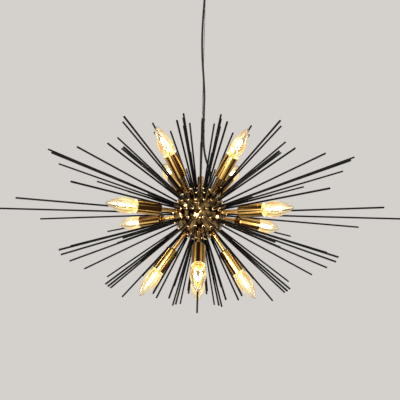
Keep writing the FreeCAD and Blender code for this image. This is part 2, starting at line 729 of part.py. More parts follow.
# ---------------------------------------------------------------- lamps
def lamp_arms(lamps):
    """Arm, nut, cup and lampholder of the twelve lamps, each kind one sub-part."""
    seat = "(Sizes.HubRadius - Sizes.ArmSeat)"
    nut_top = "sqrt((Sizes.HubRadius - Sizes.HubWall) ^ 2 - Sizes.ArmNutDiameter ^ 2 / 4)"
    nut_foot = f"{nut_top} - Sizes.ArmNutThickness"
    cup, base = "Sizes.CupStart", "Sizes.CupStart + Sizes.CupBase"
    outer, inner = "Sizes.CupDiameter / 2", "Sizes.CupDiameter / 2 - Sizes.CupWall"
    spigot, bore = "Sizes.ArmSpigot / 2", "Sizes.ArmBore / 2"
    holder, rim = "Sizes.HolderDiameter / 2", f"{base} + Sizes.HolderLength"
    socket = "Sizes.BulbCapDiameter / 2 + Sizes.SocketPlay"
    arm_end = f"{base} + Sizes.HolderFloor / 2"
    masters = {
        "lamp_arms": [
            (bore, f"{nut_foot} - Sizes.ArmSeat"), (spigot, f"{nut_foot} - Sizes.ArmSeat"),
            (spigot, seat), ("Sizes.ArmFootDiameter / 2", seat),
            ("Sizes.ArmFootDiameter / 2", f"{seat} + Sizes.ArmFootLength"),
            ("Sizes.ArmDiameter / 2", f"{seat} + Sizes.ArmFootLength"),
            ("Sizes.ArmDiameter / 2", cup), (spigot, cup), (spigot, arm_end), (bore, arm_end),
        ],
        "lamp_arm_nuts": [
            (spigot, nut_foot), ("Sizes.ArmNutDiameter / 2", nut_foot),
            ("Sizes.ArmNutDiameter / 2", nut_top), (spigot, nut_top),
        ],
        "lamp_cups": [
            (spigot, cup), (f"{outer} - Sizes.CupWall", cup), (outer, f"{cup} + Sizes.CupWall"),
            (outer, f"{cup} + Sizes.CupLength"), (inner, f"{cup} + Sizes.CupLength"),
            (inner, base), (spigot, base),
        ],
        "lampholders": [
            (spigot, base), (holder, base), (holder, rim), (socket, rim),
            (socket, f"{rim} - Sizes.SocketDepth"), (bore, f"{rim} - Sizes.SocketDepth"),
            (bore, arm_end), (spigot, arm_end),
        ],
    }
    bodies = {label: turned_body(label + "_turned", outline) for label, outline in masters.items()}
    doc.recompute()
    for label, body in bodies.items():
        feature(label, Part.makeCompound(copies(body, lamps)))


def glass_outline(inset):
    """Outline points of a candle bulb's glass, drawn in by inset."""
    foot = size("BulbTip") - size("BulbLength") + size("BulbCapLength")
    rim = size("CupStart") + size("CupLength")
    tip = size("BulbTip") - inset
    shape = (
        (size("BulbNeckDiameter"), foot),
        (size("BulbRimDiameter"), rim),
        (size("BulbDiameter"), size("BulbTip") - size("BulbWidest")),
        (size("BulbTaperDiameter"), size("BulbTip") - size("BulbTaper")),
        (size("BulbPointDiameter"), tip),
    )
    return [FreeCAD.Vector(diameter / 2 - inset, 0, height) for diameter, height in shape]


def bulb_glass():
    """The glass: a pointed candle, hollow and open at its neck."""
    lines = []
    for inset in (0.0, size("GlassWall")):
        curve = Part.BSplineCurve()
        curve.interpolate(glass_outline(inset))
        lines.append(curve.toShape())
    (outer_foot, outer_tip), (inner_foot, inner_tip) = (
        (line.Vertexes[0].Point, line.Vertexes[-1].Point) for line in lines)
    centre = [FreeCAD.Vector(0, 0, tip.z) for tip in (outer_tip, inner_tip)]
    outline = Part.Wire(Part.__sortEdges__([
        lines[0], Part.LineSegment(outer_tip, centre[0]).toShape(),
        Part.LineSegment(centre[0], centre[1]).toShape(),
        Part.LineSegment(centre[1], inner_tip).toShape(), lines[1],
        Part.LineSegment(inner_foot, outer_foot).toShape(),
    ]))
    return Part.Face(outline).revolve(FreeCAD.Vector(), Z, 360)


def bulbs(lamps):
    """Twelve candle bulbs that unscrew: a cap and a glass each."""
    contact = "Sizes.BulbTip - Sizes.BulbLength"
    shell = f"{contact} + Sizes.ContactLength"
    skirt = f"{contact} + Sizes.BulbCapLength"
    cap = turned_body("bulb_cap_turned", [
        ("0", contact),
        ("Sizes.ContactDiameter / 2", contact),
        ("Sizes.ContactDiameter / 2", shell),
        ("Sizes.BulbCapDiameter / 2", f"{shell} + 2 * Sizes.ContactLength"),
        ("Sizes.BulbCapDiameter / 2", f"{skirt} - Sizes.ContactLength"),
        ("Sizes.BulbNeckDiameter / 2", skirt),
        ("0", skirt),
    ])
    doc.recompute()
    glass = bulb_glass()
    for number, way in enumerate(lamps, start=1):
        feature(f"bulb_cap_{number}", cap.Shape.copy(), along(way))
        feature(f"bulb_glass_{number}", glass.copy(), along(way))


# ---------------------------------------------------------------- assembly
NODES = [
    "ceiling_crossbar", "crossbar_studs", "canopy", "canopy_cap_nuts", "terminal_block",
    "cable_gripper", "gripper_nut", "cord_bush", "cord_tail",
    "swivel_washer", "cable_ball", "steel_cable", "cable_stop", "power_cord", "cord_clips",
    "hub_cap", "hub_bowl", "top_stem", "stem_nut", "tie_rod", "finial_nut", "cord_gland",
    "lead_connector", "rods_equator", "rods_upper_slope", "rods_lower_slope",
    "rods_upper_shoulder", "rods_lower_shoulder", "rods_crown", "rods_base",
    "collars_upper", "collars_lower", "lamp_arms", "lamp_arm_nuts", "lamp_cups", "lampholders",
]
LAMP_WAYS = lamp_ways()
RODS = ring_rods(LAMP_WAYS)
NODES += [f"bulb_{kind}_{number}" for number in range(1, len(LAMP_WAYS) + 1) for kind in ("cap", "glass")]

crossbar()
canopy()
cable_gripper()
swivel_washer()
cord_fixing()
steel_cable()
power_cord()
cord_clips()
ball_halves([way for _, way, _, _ in RODS], LAMP_WAYS)
hub_fittings()
rods_and_collars(RODS)
lamp_arms(LAMP_WAYS)
bulbs(LAMP_WAYS)
doc.recompute()

for obj in doc.Objects:
    if any(state in ("Invalid", "Error") for state in obj.State):
        raise RuntimeError(f"{obj.Label} did not recompute: {obj.State}")
shapes = {label: doc.getObjectsByLabel(label)[0].Shape for label in NODES}
for label, shape in shapes.items():
    if shape.isNull() or not shape.isValid() or not shape.Solids:
        raise RuntimeError(f"{label} has no valid solid")

os.makedirs("parts", exist_ok=True)
for label, shape in shapes.items():
    shape.exportStep(f"parts/{label}.step")
print(len(RODS) + 1, "rods,", len(LAMP_WAYS), "lamps,", len(NODES), "sub-parts")
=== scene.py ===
# %% [markdown]
# A sputnik pendant light: a polished brass ball, slim black rods radiating all round it, twelve candle
# lamps in brass cups among the rods, and a steel cable and a black power cord up to a canopy. The packed
# model gives every piece its place. This script only dresses it: smooth surfaces, finishes and light.

# %% Load the frame
import json
import math

import bmesh
import bpy
import numpy as np
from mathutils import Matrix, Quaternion, Vector


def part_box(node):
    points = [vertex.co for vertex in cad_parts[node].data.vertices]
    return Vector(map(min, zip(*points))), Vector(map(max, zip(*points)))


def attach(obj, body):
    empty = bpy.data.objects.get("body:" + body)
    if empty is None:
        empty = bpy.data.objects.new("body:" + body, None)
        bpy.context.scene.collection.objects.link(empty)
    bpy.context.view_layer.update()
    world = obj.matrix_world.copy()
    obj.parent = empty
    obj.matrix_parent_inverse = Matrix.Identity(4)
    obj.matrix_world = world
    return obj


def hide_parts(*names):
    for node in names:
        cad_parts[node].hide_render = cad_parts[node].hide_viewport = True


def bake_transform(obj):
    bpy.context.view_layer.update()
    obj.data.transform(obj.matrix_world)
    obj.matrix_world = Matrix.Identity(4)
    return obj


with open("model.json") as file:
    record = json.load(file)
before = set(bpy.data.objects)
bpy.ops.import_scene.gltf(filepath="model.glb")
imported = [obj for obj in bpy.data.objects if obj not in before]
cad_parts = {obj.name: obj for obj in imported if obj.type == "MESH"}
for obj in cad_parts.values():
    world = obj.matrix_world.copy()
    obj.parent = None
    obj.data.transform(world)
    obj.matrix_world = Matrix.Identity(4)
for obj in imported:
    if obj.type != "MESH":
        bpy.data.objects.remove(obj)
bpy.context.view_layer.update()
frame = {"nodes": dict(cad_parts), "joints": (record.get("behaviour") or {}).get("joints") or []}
MM = 0.001
UP = (0.0, 0.0, 1.0)


def corners(node):
    """The low and the high corner of a node's box."""
    return np.array(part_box(node))


def in_scene(name, data):
    """A new object with this name and data, in the scene."""
    thing = bpy.data.objects.new(name, data)
    bpy.context.scene.collection.objects.link(thing)
    return thing


HUB = corners("rods_equator").mean(axis=0)
BALL = np.ptp(corners("hub_bowl"), axis=0)[0] / 2


def points_of(piece):
    """The points of a piece's mesh, measured from the ball's centre."""
    return np.array([vertex.co for vertex in piece.data.vertices]) - HUB


LAMP_WAYS = np.array([joint["axis"] for joint in frame["joints"] if joint["name"].endswith("removal")])
LAMP_WAYS /= np.linalg.norm(LAMP_WAYS, axis=1)[:, None]
print("ball centre", HUB.round(4), "radius", round(BALL, 4), "lamps", len(LAMP_WAYS))

# %% [markdown]
# The camera stands in front of the light and below it, as in the photograph: its line of sight to the
# ball climbs a little, and the ball is a little below the middle of the picture. A camera can be turned
# until the ball sits there, or its film can be shifted. Turning keeps the picture's perspective true.

# %% Camera
LENS = 54.0
SENSOR = 36.0
PICTURE = 400
CLIMB = math.radians(12.8)
ROLL = math.radians(1.5)
DISTANCE = 1.368
BALL_ROW = 213.6  # the picture's row where the ball's centre is

camera_data = bpy.data.cameras.new("camera")
camera_data.lens, camera_data.sensor_width = LENS, SENSOR
camera = in_scene("camera", camera_data)
camera.location = HUB - DISTANCE * np.array([0.0, math.cos(CLIMB), math.sin(CLIMB)])
lift = math.atan((BALL_ROW - PICTURE / 2) / (PICTURE * LENS / SENSOR))
aim = Vector((0.0, math.cos(CLIMB + lift), math.sin(CLIMB + lift)))
camera.rotation_mode = "QUATERNION"
camera.rotation_quaternion = aim.to_track_quat("-Z", "Y") @ Quaternion(UP, ROLL)
bpy.context.scene.camera = camera
print("camera at", tuple(round(v, 3) for v in camera.location))

# %% [markdown]
# Nearly every piece of a lamp like this is turned on a lathe or drawn through a die, so its shape is an
# outline spun about an axis. One helper spins an outline about any number of axes at once and keeps, for
# each point, where it was on its own lathe. Finishes read that, so that drawing lines run along a tube.

# %% Helpers for turned pieces
OWN_SHIFT = np.array([0.0, 0.0, 0.37])  # from one copy of a piece to the next, so that no two look alike


def soften(outline, radius, steps=3):
    """Rounds each corner of a closed outline with a quadratic curve that reaches radius to either side."""
    points = np.array(outline, float)
    before = np.roll(points, 1, axis=0) - points
    after = np.roll(points, -1, axis=0) - points
    reach_before = np.minimum(radius, 0.45 * np.linalg.norm(before, axis=1))
    reach_after = np.minimum(radius, 0.45 * np.linalg.norm(after, axis=1))
    start = points + before / np.linalg.norm(before, axis=1)[:, None] * reach_before[:, None]
    end = points + after / np.linalg.norm(after, axis=1)[:, None] * reach_after[:, None]
    share = np.linspace(0, 1, steps + 1)[None, :, None]
    start, corner, end = (ends[:, None] for ends in (start, points, end))
    curve = (1 - share) ** 2 * start + 2 * share * (1 - share) * corner + share ** 2 * end
    return curve.reshape(-1, 2)


def frames_along(ways):
    """For each unit direction, a matrix of three columns: two crosswise directions and the direction."""
    ways = np.atleast_2d(np.array(ways, float))
    helper = np.where(np.abs(ways[:, 2:]) > 0.99, [[1.0, 0.0, 0.0]], [[0.0, 0.0, 1.0]])
    across = np.cross(helper, ways)
    across /= np.linalg.norm(across, axis=1)[:, None]
    return np.stack([across, np.cross(ways, across), ways], axis=2)


def grid_faces(rows, columns, closed_rows=False):
    """Quads of a grid whose columns close round, and whose rows close too if asked."""
    row = np.arange(rows if closed_rows else rows - 1)[:, None]
    column = np.arange(columns)[None, :]
    following = (row + 1) % rows
    beside = (column + 1) % columns
    quads = [row * columns + column, row * columns + beside, following * columns + beside,
             following * columns + column]
    return np.stack(np.broadcast_arrays(*quads), axis=-1).reshape(-1, 4)


def copied(quads, copies, size):
    """The quads of that many copies of a mesh that has size points."""
    return (quads[None] + np.arange(copies)[:, None, None] * size).reshape(-1, 4)


def mark(piece, label, values):
    """Stores one number for each point of a piece, which a finish can read by its label."""
    attribute = piece.data.attributes.new(label, "FLOAT", "POINT")
    attribute.data.foreach_set("value", np.ascontiguousarray(values, dtype=np.float32))


def make_piece(name, points, faces, own=None):
    """A smooth-shaded object from arrays of points and quads. own is each point's place on its own lathe."""
    mesh = bpy.data.meshes.new(name)
    mesh.from_pydata(points.tolist(), [], faces.tolist())
    if own is not None:
        attribute = mesh.attributes.new("own", "FLOAT_VECTOR", "POINT")
        attribute.data.foreach_set("vector", np.ascontiguousarray(own, dtype=np.float32).ravel())
    work = bmesh.new()
    work.from_mesh(mesh)
    bmesh.ops.remove_doubles(work, verts=work.verts, dist=1e-7)
    bmesh.ops.recalc_face_normals(work, faces=work.faces)
    work.to_mesh(mesh)
    work.free()
    mesh.polygons.foreach_set("use_smooth", np.ones(len(mesh.polygons), bool))
    mesh.update()
    return in_scene(name, mesh)


def turned(name, outline, ways=(UP,), foot=None, sides=48, reaches=0.0, beyond=0.0, shape=None):
    """Spins a closed outline of (radius, distance along the axis) about each direction in ways.

    A point is foot + distance * way + radius * (cos a * across + sin a * aside). Points of the outline
    beyond a distance are moved on by reaches, one number per axis. shape gives the radius a factor that
    depends on the angle and the distance, as on a hexagon nut."""
    outline = np.array(outline, float)
    angle = np.arange(sides) * 2 * math.pi / sides
    radius, height = (np.repeat(outline[:, [column]], sides, axis=1) for column in (0, 1))
    if shape is not None:
        radius = radius * shape(angle[None, :], height)
    local = np.stack([radius * np.cos(angle), radius * np.sin(angle), height], axis=-1).reshape(-1, 3)
    frames = frames_along(ways)
    local = np.repeat(local[None], len(frames), axis=0)
    local[:, :, 2] += np.where(local[:, :, 2] > beyond, np.reshape(reaches, (-1, 1)), 0.0)
    points = np.einsum("nij,nkj->nki", frames, local) + (HUB if foot is None else np.array(foot, float))
    own = local + np.arange(len(frames))[:, None, None] * OWN_SHIFT
    faces = copied(grid_faces(len(outline), sides, closed_rows=True), len(frames), len(outline) * sides)
    return make_piece(name, points.reshape(-1, 3), faces, own.reshape(-1, 3))


def dress(piece, body, *nodes, slot=None, finish=None):
    """Rides a piece on a body, hides the nodes that it stands for, and gives it its finish; slot is not used.
    """
    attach(piece, body)
    if nodes:
        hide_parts(*nodes)
    if finish:
        piece.data.materials.append(finish)


# %% [markdown]
# The power cord hangs beside the steel cable, wanders a few millimetres off it, and leaves it above the
# ball to go in through a gland. A cord is a smooth line, so its route is a curve with a few control
# points. The tube is then made of rings along that curve.

# %% Route of the power cord
CORD_DIAMETER = 5 * MM
CORD_START = np.array([0.0, -17 * MM, -30 * MM])
CORD_ROUTE = (
    (-1.2, -15.0, 548.0), (-4.2, -12.0, 494.0), (-5.4, -8.6, 438.0), (-3.4, -6.4, 384.0),
    (0.8, -5.2, 337.0), (4.3, -2.4, 290.0), (3.8, 0.0, 250.0), (3.8, 0.0, 178.0),
    (7.9, 0.5, 143.0), (15.0, 0.8, 118.0))
GLAND_CLIMB = math.radians(73)
GLAND_WAY = np.array([math.cos(GLAND_CLIMB), 0.0, math.sin(GLAND_CLIMB)])
CORD_LEAD_IN = 92 * MM
CORD_END = 52 * MM
SHEATH_SHORT = 3.6 * MM  # left off inside the bush, where the cord lifts when the light swings


def smooth_line(name, points, resolution):
    """Points along a NURBS curve of order 3 with these control points, read from Blender's own curve."""
    data = bpy.data.curves.new(name, "CURVE")
    data.dimensions = "3D"
    data.resolution_u = resolution
    spline = data.splines.new("NURBS")
    spline.points.add(len(points) - 1)
    for control, point in zip(spline.points, points):
        control.co = (*point, 1.0)
    spline.order_u = 3
    spline.use_endpoint_u = True
    carrier = in_scene(name, data)
    bpy.context.view_layer.update()
    mesh = bpy.data.meshes.new_from_object(carrier)
    line = np.array([vertex.co for vertex in mesh.vertices])
    bpy.data.objects.remove(carrier)
    bpy.data.meshes.remove(mesh)
    bpy.data.curves.remove(data)
    return line


def distance_along(line):
    """Distance from a line's start to each of its points."""
    return np.concatenate([[0], np.cumsum(np.linalg.norm(np.diff(line, axis=0), axis=1))])


def line_length(line):
    """Distance from a line's start to its end."""
    return float(distance_along(line)[-1])


def frames_on(line):
    """Crosswise directions at each point of a line, carried along it so that they never twist."""
    tangent = np.gradient(line, axis=0)
    tangent /= np.linalg.norm(tangent, axis=1)[:, None]
    side = np.array([1.0, 0.0, 0.0])
    sides = []
    for way in tangent:
        side = side - way * (side @ way)
        side /= np.linalg.norm(side)
        sides.append(side)
    sides = np.array(sides)
    return sides, np.cross(tangent, sides)


def tube(name, line, radius, sides=16):
    """A tube round a line: ring by ring, point = line + radius * (cos a * side + sin a * up), ends closed."""
    across, up = frames_on(line)
    angle = np.arange(sides) * 2 * math.pi / sides
    ring = np.cos(angle)[:, None] * across[:, None] + np.sin(angle)[:, None] * up[:, None]
    points = line[:, None] + ring * radius
    points = np.concatenate([np.repeat(line[:1, None], sides, axis=1), points,
                             np.repeat(line[-1:, None], sides, axis=1)])
    along = np.pad(distance_along(line), 1, mode="edge")
    own = np.broadcast_arrays(radius * np.cos(angle), radius * np.sin(angle), along[:, None])
    return make_piece(name, points.reshape(-1, 3), grid_faces(len(points), sides),
                      np.stack(own, axis=-1).reshape(-1, 3))


cord_controls = [CORD_START] + [HUB + MM * np.array(point) for point in CORD_ROUTE]
cord_controls += [HUB + GLAND_WAY * CORD_LEAD_IN, HUB + GLAND_WAY * CORD_END]
cord_line = smooth_line("cord_route", cord_controls, 10)
along_cord = distance_along(cord_line)
shown_from = np.concatenate([[SHEATH_SHORT], along_cord[along_cord > SHEATH_SHORT]])
shown_line = np.stack([np.interp(shown_from, along_cord, cord_line[:, axis]) for axis in range(3)], axis=1)
power_cord = tube("power_cord_sheath", shown_line, CORD_DIAMETER / 2)

# %% [markdown]
# The steel cable is wire rope: six strands laid round a core. At two millimetres a smooth bar would pass
# from afar, but the strands catch the light as a fine twist. Each strand is a helix round the cable's own
# line, and all six tubes are worked out in one array.

# %% Wire rope
CABLE_DIAMETER = 2 * MM
STRANDS = 6
LAY_LENGTH = 15 * MM
STRAND_STEPS = 10  # rings of a strand for each turn of its lay
STRAND_SIDES = 6
cable_low, cable_high = corners("steel_cable")[:, 2]
cable_line = smooth_line("cable_route", [(0, 0, z) for z in np.linspace(cable_high, cable_low, 3)], 64)


def wire_rope(name, line, diameter, strands, lay):
    """Tubes of radius r that wind round a line, (diameter / 2 - r) off it, one full turn for each lay."""
    steps = int(line_length(line) / lay * STRAND_STEPS)
    height = np.linspace(line[0, 2], line[-1, 2], steps)
    strand_radius = diameter / 2 / (1 + 1 / math.sin(math.pi / strands))
    turn = 2 * math.pi * ((line[0, 2] - height) / lay + np.arange(strands)[:, None] / strands)
    level = np.zeros_like(turn)
    outward = np.stack([np.cos(turn), np.sin(turn), level], -1)
    aside = np.stack([-np.sin(turn), np.cos(turn), level], -1)
    centre = (diameter / 2 - strand_radius) * outward + height[:, None] * np.array(UP)
    angle = np.arange(STRAND_SIDES) * 2 * math.pi / STRAND_SIDES
    ring = np.cos(angle)[:, None] * outward[:, :, None] + np.sin(angle)[:, None] * aside[:, :, None]
    ends = np.repeat(centre[:, [0, -1], None], STRAND_SIDES, axis=2)
    points = np.concatenate([ends[:, :1], centre[:, :, None] + strand_radius * ring, ends[:, 1:]], axis=1)
    faces = copied(grid_faces(steps + 2, STRAND_SIDES), strands, (steps + 2) * STRAND_SIDES)
    return make_piece(name, points.reshape(-1, 3), faces, (points * UP).reshape(-1, 3))


steel_rope = wire_rope("steel_rope", cable_line, CABLE_DIAMETER, STRANDS, LAY_LENGTH)
print("cable", round(line_length(cable_line), 4), "m")

# %% [markdown]
# Two effects are shared by many finishes, so each is a node group. One lets a colour wander between two
# tones, as lacquer and age do on brass; on cups and arms its streaks are painted reflections. The other
# gives fine lines along a drawn tube, or round a spun cup, together with smudges that make the gloss uneven.

# %% Shared effects
def add_node(tree, kind, **settings):
    """A new shader node. A setting with a capital is the value of an input, the others are its own."""
    made = tree.nodes.new("ShaderNode" + kind)
    for label, value in settings.items():
        if label[0].isupper():
            made.inputs[label.replace("_", " ")].default_value = value
        else:
            setattr(made, label, value)
    return made


def wire(tree, *pairs):
    """Links each pair of sockets, from the first to the second."""
    for source, target in pairs:
        tree.links.new(source, target)


def new_group(name, inputs, outputs):
    """An empty node group whose sockets have these names and kinds, with what it is given and gives."""
    group = bpy.data.node_groups.new(name, "ShaderNodeTree")
    for side, sockets in (("INPUT", inputs), ("OUTPUT", outputs)):
        for label, kind in sockets.items():
            group.interface.new_socket(name=label, in_out=side, socket_type="NodeSocket" + kind)
    return group, group.nodes.new("NodeGroupInput").outputs, group.nodes.new("NodeGroupOutput").inputs


def tone_group():
    """Colour between two tones, by a noise that can be squeezed along one direction into streaks.

    Where the noise is under Low the colour is Bright, and where it is over High the colour is Dark."""
    group, given, gives = new_group(
        "tone_drift", {"Vector": "Vector", "Squeeze": "Vector", "Detail": "Float", "Low": "Float",
                       "High": "Float", "Bright": "Color", "Dark": "Color"}, {"Color": "Color"})
    stretch = add_node(group, "VectorMath", operation="MULTIPLY")
    noise = add_node(group, "TexNoise", Scale=1.0, Roughness=0.6)
    spread = add_node(group, "MapRange")
    mix = add_node(group, "Mix", data_type="RGBA")
    wire(group, (given["Vector"], stretch.inputs[0]), (given["Squeeze"], stretch.inputs[1]),
         (stretch.outputs["Vector"], noise.inputs["Vector"]), (given["Detail"], noise.inputs["Detail"]),
         (noise.outputs["Fac"], spread.inputs["Value"]), (given["Low"], spread.inputs["From Min"]),
         (given["High"], spread.inputs["From Max"]), (spread.outputs["Result"], mix.inputs["Factor"]),
         (given["Bright"], mix.inputs["A"]), (given["Dark"], mix.inputs["B"]),
         (mix.outputs["Result"], gives["Color"]))
    return group


def line_group():
    """Fine lines: noise squeezed along one direction gives a height, and a coarse noise varies the gloss."""
    group, given, gives = new_group(
        "fine_lines", {"Vector": "Vector", "Squeeze": "Vector", "Gloss": "Float", "Smudge": "Float"},
        {"Height": "Float", "Roughness": "Float"})
    stretch = add_node(group, "VectorMath", operation="MULTIPLY")
    lines = add_node(group, "TexNoise", Scale=1.0, Detail=3.0)
    cloud = add_node(group, "TexNoise", Scale=45.0, Detail=4.0)
    smudge = add_node(group, "Math", operation="MULTIPLY")
    streak = add_node(group, "Math", operation="MULTIPLY_ADD")
    wire(group, (given["Vector"], stretch.inputs[0]), (given["Squeeze"], stretch.inputs[1]),
         (stretch.outputs["Vector"], lines.inputs["Vector"]), (given["Vector"], cloud.inputs["Vector"]),
         (cloud.outputs["Fac"], smudge.inputs[0]), (lines.outputs["Fac"], smudge.inputs[1]),
         (smudge.outputs["Value"], streak.inputs[0]), (given["Smudge"], streak.inputs[1]),
         (given["Gloss"], streak.inputs[2]), (streak.outputs["Value"], gives["Roughness"]),
         (lines.outputs["Fac"], gives["Height"]))
    return group


TONE = tone_group()
LINES = line_group()

# %% [markdown]
# A finish is one Principled shader. Its constants sit on the shader's own sockets, and the two shared
# groups feed what changes over the surface. The brass is aged and lacquered: nearly black in its dark
# tone and gold in its bright one. On cups and arms the two tones are painted reflections: dark and light
# streaks along them.

# %% Finishes
GRAIN_DEPTH = 0.5 * MM


def new_material(name, **sockets):
    """A material, its tree and its shader. sockets are constants for the shader's own sockets."""
    material = bpy.data.materials.new(name)
    material.use_nodes = True
    shader = material.node_tree.nodes["Principled BSDF"]
    for label, value in sockets.items():
        shader.inputs[label.replace("_", " ")].default_value = value
    return material, material.node_tree, shader


def drifting(tree, source, bright, dark, drift, edges, detail):
    """The tone group in a tree, laid out in a source of coordinates: the socket of its colour."""
    tone = add_node(tree, "Group", node_tree=TONE, Squeeze=drift, Detail=detail, Low=edges[0],
                    High=edges[1], Bright=(*bright, 1), Dark=(*dark, 1))
    tree.links.new(source, tone.inputs["Vector"])
    return tone.outputs["Color"]


def finish(name, bright, dark, drift, gloss, lines=(400.0, 400.0, 8.0), smudge=0.15, relief=0.02,
           place="own", edges=(0.35, 0.68), detail=5.0, **sockets):
    """A material with drifting tone, fine lines and uneven gloss.

    drift and lines say how many waves a metre the tone and the lines have in each direction. place is the
    attribute that they are laid out in, or object for the piece's own coordinates. The closer together
    the two edges are, the harder the step from one tone to the other."""
    material, tree, shader = new_material(name, **sockets)
    if place == "object":
        source = add_node(tree, "TexCoord").outputs["Object"]
    else:
        source = add_node(tree, "Attribute", attribute_name=place).outputs["Vector"]
    grain = add_node(tree, "Group", node_tree=LINES, Squeeze=lines, Gloss=gloss, Smudge=smudge)
    bump = add_node(tree, "Bump", Strength=relief, Distance=GRAIN_DEPTH)
    wire(tree, (drifting(tree, source, bright, dark, drift, edges, detail), shader.inputs["Base Color"]),
         (source, grain.inputs["Vector"]), (grain.outputs["Roughness"], shader.inputs["Roughness"]),
         (grain.outputs["Height"], bump.inputs["Height"]), (bump.outputs["Normal"], shader.inputs["Normal"]))
    return material


def even(waves):
    """The same number of waves in every direction."""
    return (waves, waves, waves)


ball_brass = finish("ball_brass", (0.40, 0.245, 0.095), (0.006, 0.003, 0.001), drift=even(75),
                    lines=(30, 30, 900), gloss=0.05, smudge=0.12, relief=0.01, edges=(0.38, 0.57), Metallic=1)
DRAWN = {"lines": (900, 900, 6), "smudge": 0.08, "relief": 0.01, "detail": 1, "Metallic": 1}
# Painted reflections: the cups' colour has dark and light streaks along each cup.
cup_brass = finish("cup_brass", (1, 0.62, 0.17), (0.050, 0.020, 0.006), drift=(230, 230, 2),
                   gloss=0.27, edges=(0.40, 0.50), **DRAWN)
# Painted reflections: dark and light streaks along each arm, and on the stem, finial and gripper that share
# this finish.
arm_brass = finish("arm_brass", (0.88, 0.50, 0.14), (0.04, 0.016, 0.005), drift=(450, 450, 2),
                   gloss=0.24, edges=(0.41, 0.53), **DRAWN)
collar_brass = finish("collar_brass", (1, 0.78, 0.42), (0.5, 0.3, 0.12), drift=even(160), gloss=0.28,
                      smudge=0.15, Metallic=1)
canopy_brass = finish("canopy_brass", (0.24, 0.15, 0.06), (0.13, 0.08, 0.033), drift=even(22),
                      lines=(20, 20, 1200), gloss=0.5, smudge=0.2, relief=0.06, Metallic=1)
cap_brass = finish("cap_brass", (0.72, 0.55, 0.28), (0.50, 0.34, 0.15), drift=even(150), gloss=0.25,
                   smudge=0.2, Metallic=1)
rod_black = finish("rod_black", (0.0032, 0.003, 0.003), (0.0015, 0.0015, 0.0015), drift=even(70),
                   lines=(700, 700, 90), gloss=0.34, smudge=0.22, relief=0.12, Specular_IOR_Level=0.04)
cord_black = finish("cord_black", (0.008, 0.008, 0.008), (0.004, 0.004, 0.004), drift=even(90),
                    lines=(900, 900, 60), gloss=0.36, smudge=0.2, relief=0.1, Specular_IOR_Level=0.2)
core_brown = finish("core_brown", (0.12, 0.05, 0.02), (0.08, 0.03, 0.012), drift=even(300), gloss=0.3)
core_blue = finish("core_blue", (0.03, 0.08, 0.30), (0.02, 0.05, 0.20), drift=even(300), gloss=0.3)
moulded_black = finish("moulded_black", (0.022, 0.022, 0.022), (0.012, 0.012, 0.012), drift=even(200),
                       lines=even(1500), gloss=0.42, smudge=0.15, relief=0.15, place="object")
moulded_white = finish("moulded_white", (0.80, 0.78, 0.72), (0.70, 0.67, 0.60), drift=even(120),
                       lines=even(900), gloss=0.35, smudge=0.15, relief=0.05, place="object")
zinc_steel = finish("zinc_steel", (0.66, 0.66, 0.64), (0.42, 0.42, 0.42), drift=even(160),
                    lines=even(200), gloss=0.28, smudge=0.25, relief=0.05, place="object", Metallic=1)
rope_steel = finish("rope_steel", (0.46, 0.45, 0.42), (0.12, 0.11, 0.10), drift=even(200),
                    lines=(0, 0, 900), gloss=0.22, smudge=0.2, relief=0.05, Metallic=1)
print("finishes", len(bpy.data.materials))

# %% Cord and cable
dress(steel_rope, "suspension", "steel_cable", slot="cable_steel", finish=rope_steel)

power_cord.data.materials.append(cord_black)
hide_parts("power_cord")
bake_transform(power_cord)

# %% [markdown]
# The ball is two spun brass shells that meet in a rebate a little above the middle. Its surface is what
# the whole light mirrors in, so it must be truly round: each shell is a zone of a sphere in many fine
# rows, not the facets of a coarse mesh. Round each rod's foot a mask darkens it: painted shade.

# %% The ball
SHELL = 4 * MM
SEAM_HEIGHT = 10.4 * MM
SEAM_GAP = 0.15 * MM
SEAM_LIP = 0.25 * MM
STEM_HOLE = 6 * MM
FINIAL_HOLE = 4 * MM
# Painted shade: the ball is darkened round each rod's foot, from this far off the rod's line and over this
# width.
PAINTED_SHADE_START = 3.2 * MM
PAINTED_SHADE_WIDTH = 3.2 * MM
ROD_DIAMETER = 4 * MM


def radial_axes(node):
    """The unit direction and the reach of each radial bar in a node, found from its points farthest out."""
    points = points_of(frame["nodes"][node])
    axes = []
    while len(points):
        farthest = points[np.linalg.norm(points, axis=1).argmax()]
        end = points[np.linalg.norm(points - farthest, axis=1) < ROD_DIAMETER * 1.1]
        way = (end.min(axis=0) + end.max(axis=0)) / 2
        way /= np.linalg.norm(way)
        axes.append((way, float((end @ way).max())))
        away = np.linalg.norm(points - np.outer(points @ way, way), axis=1)
        points = points[(away > ROD_DIAMETER) | (points @ way < 0)]
    ways, reaches = zip(*axes)
    return np.array(ways), np.array(reaches)


ROD_NODES = sorted(name for name in frame["nodes"] if name.startswith("rods_"))
RODS = {name: radial_axes(name) for name in ROD_NODES}
ALL_WAYS = np.concatenate([ways for ways, _ in RODS.values()])
print("rods", {name: len(ways) for name, (ways, _) in RODS.items()})


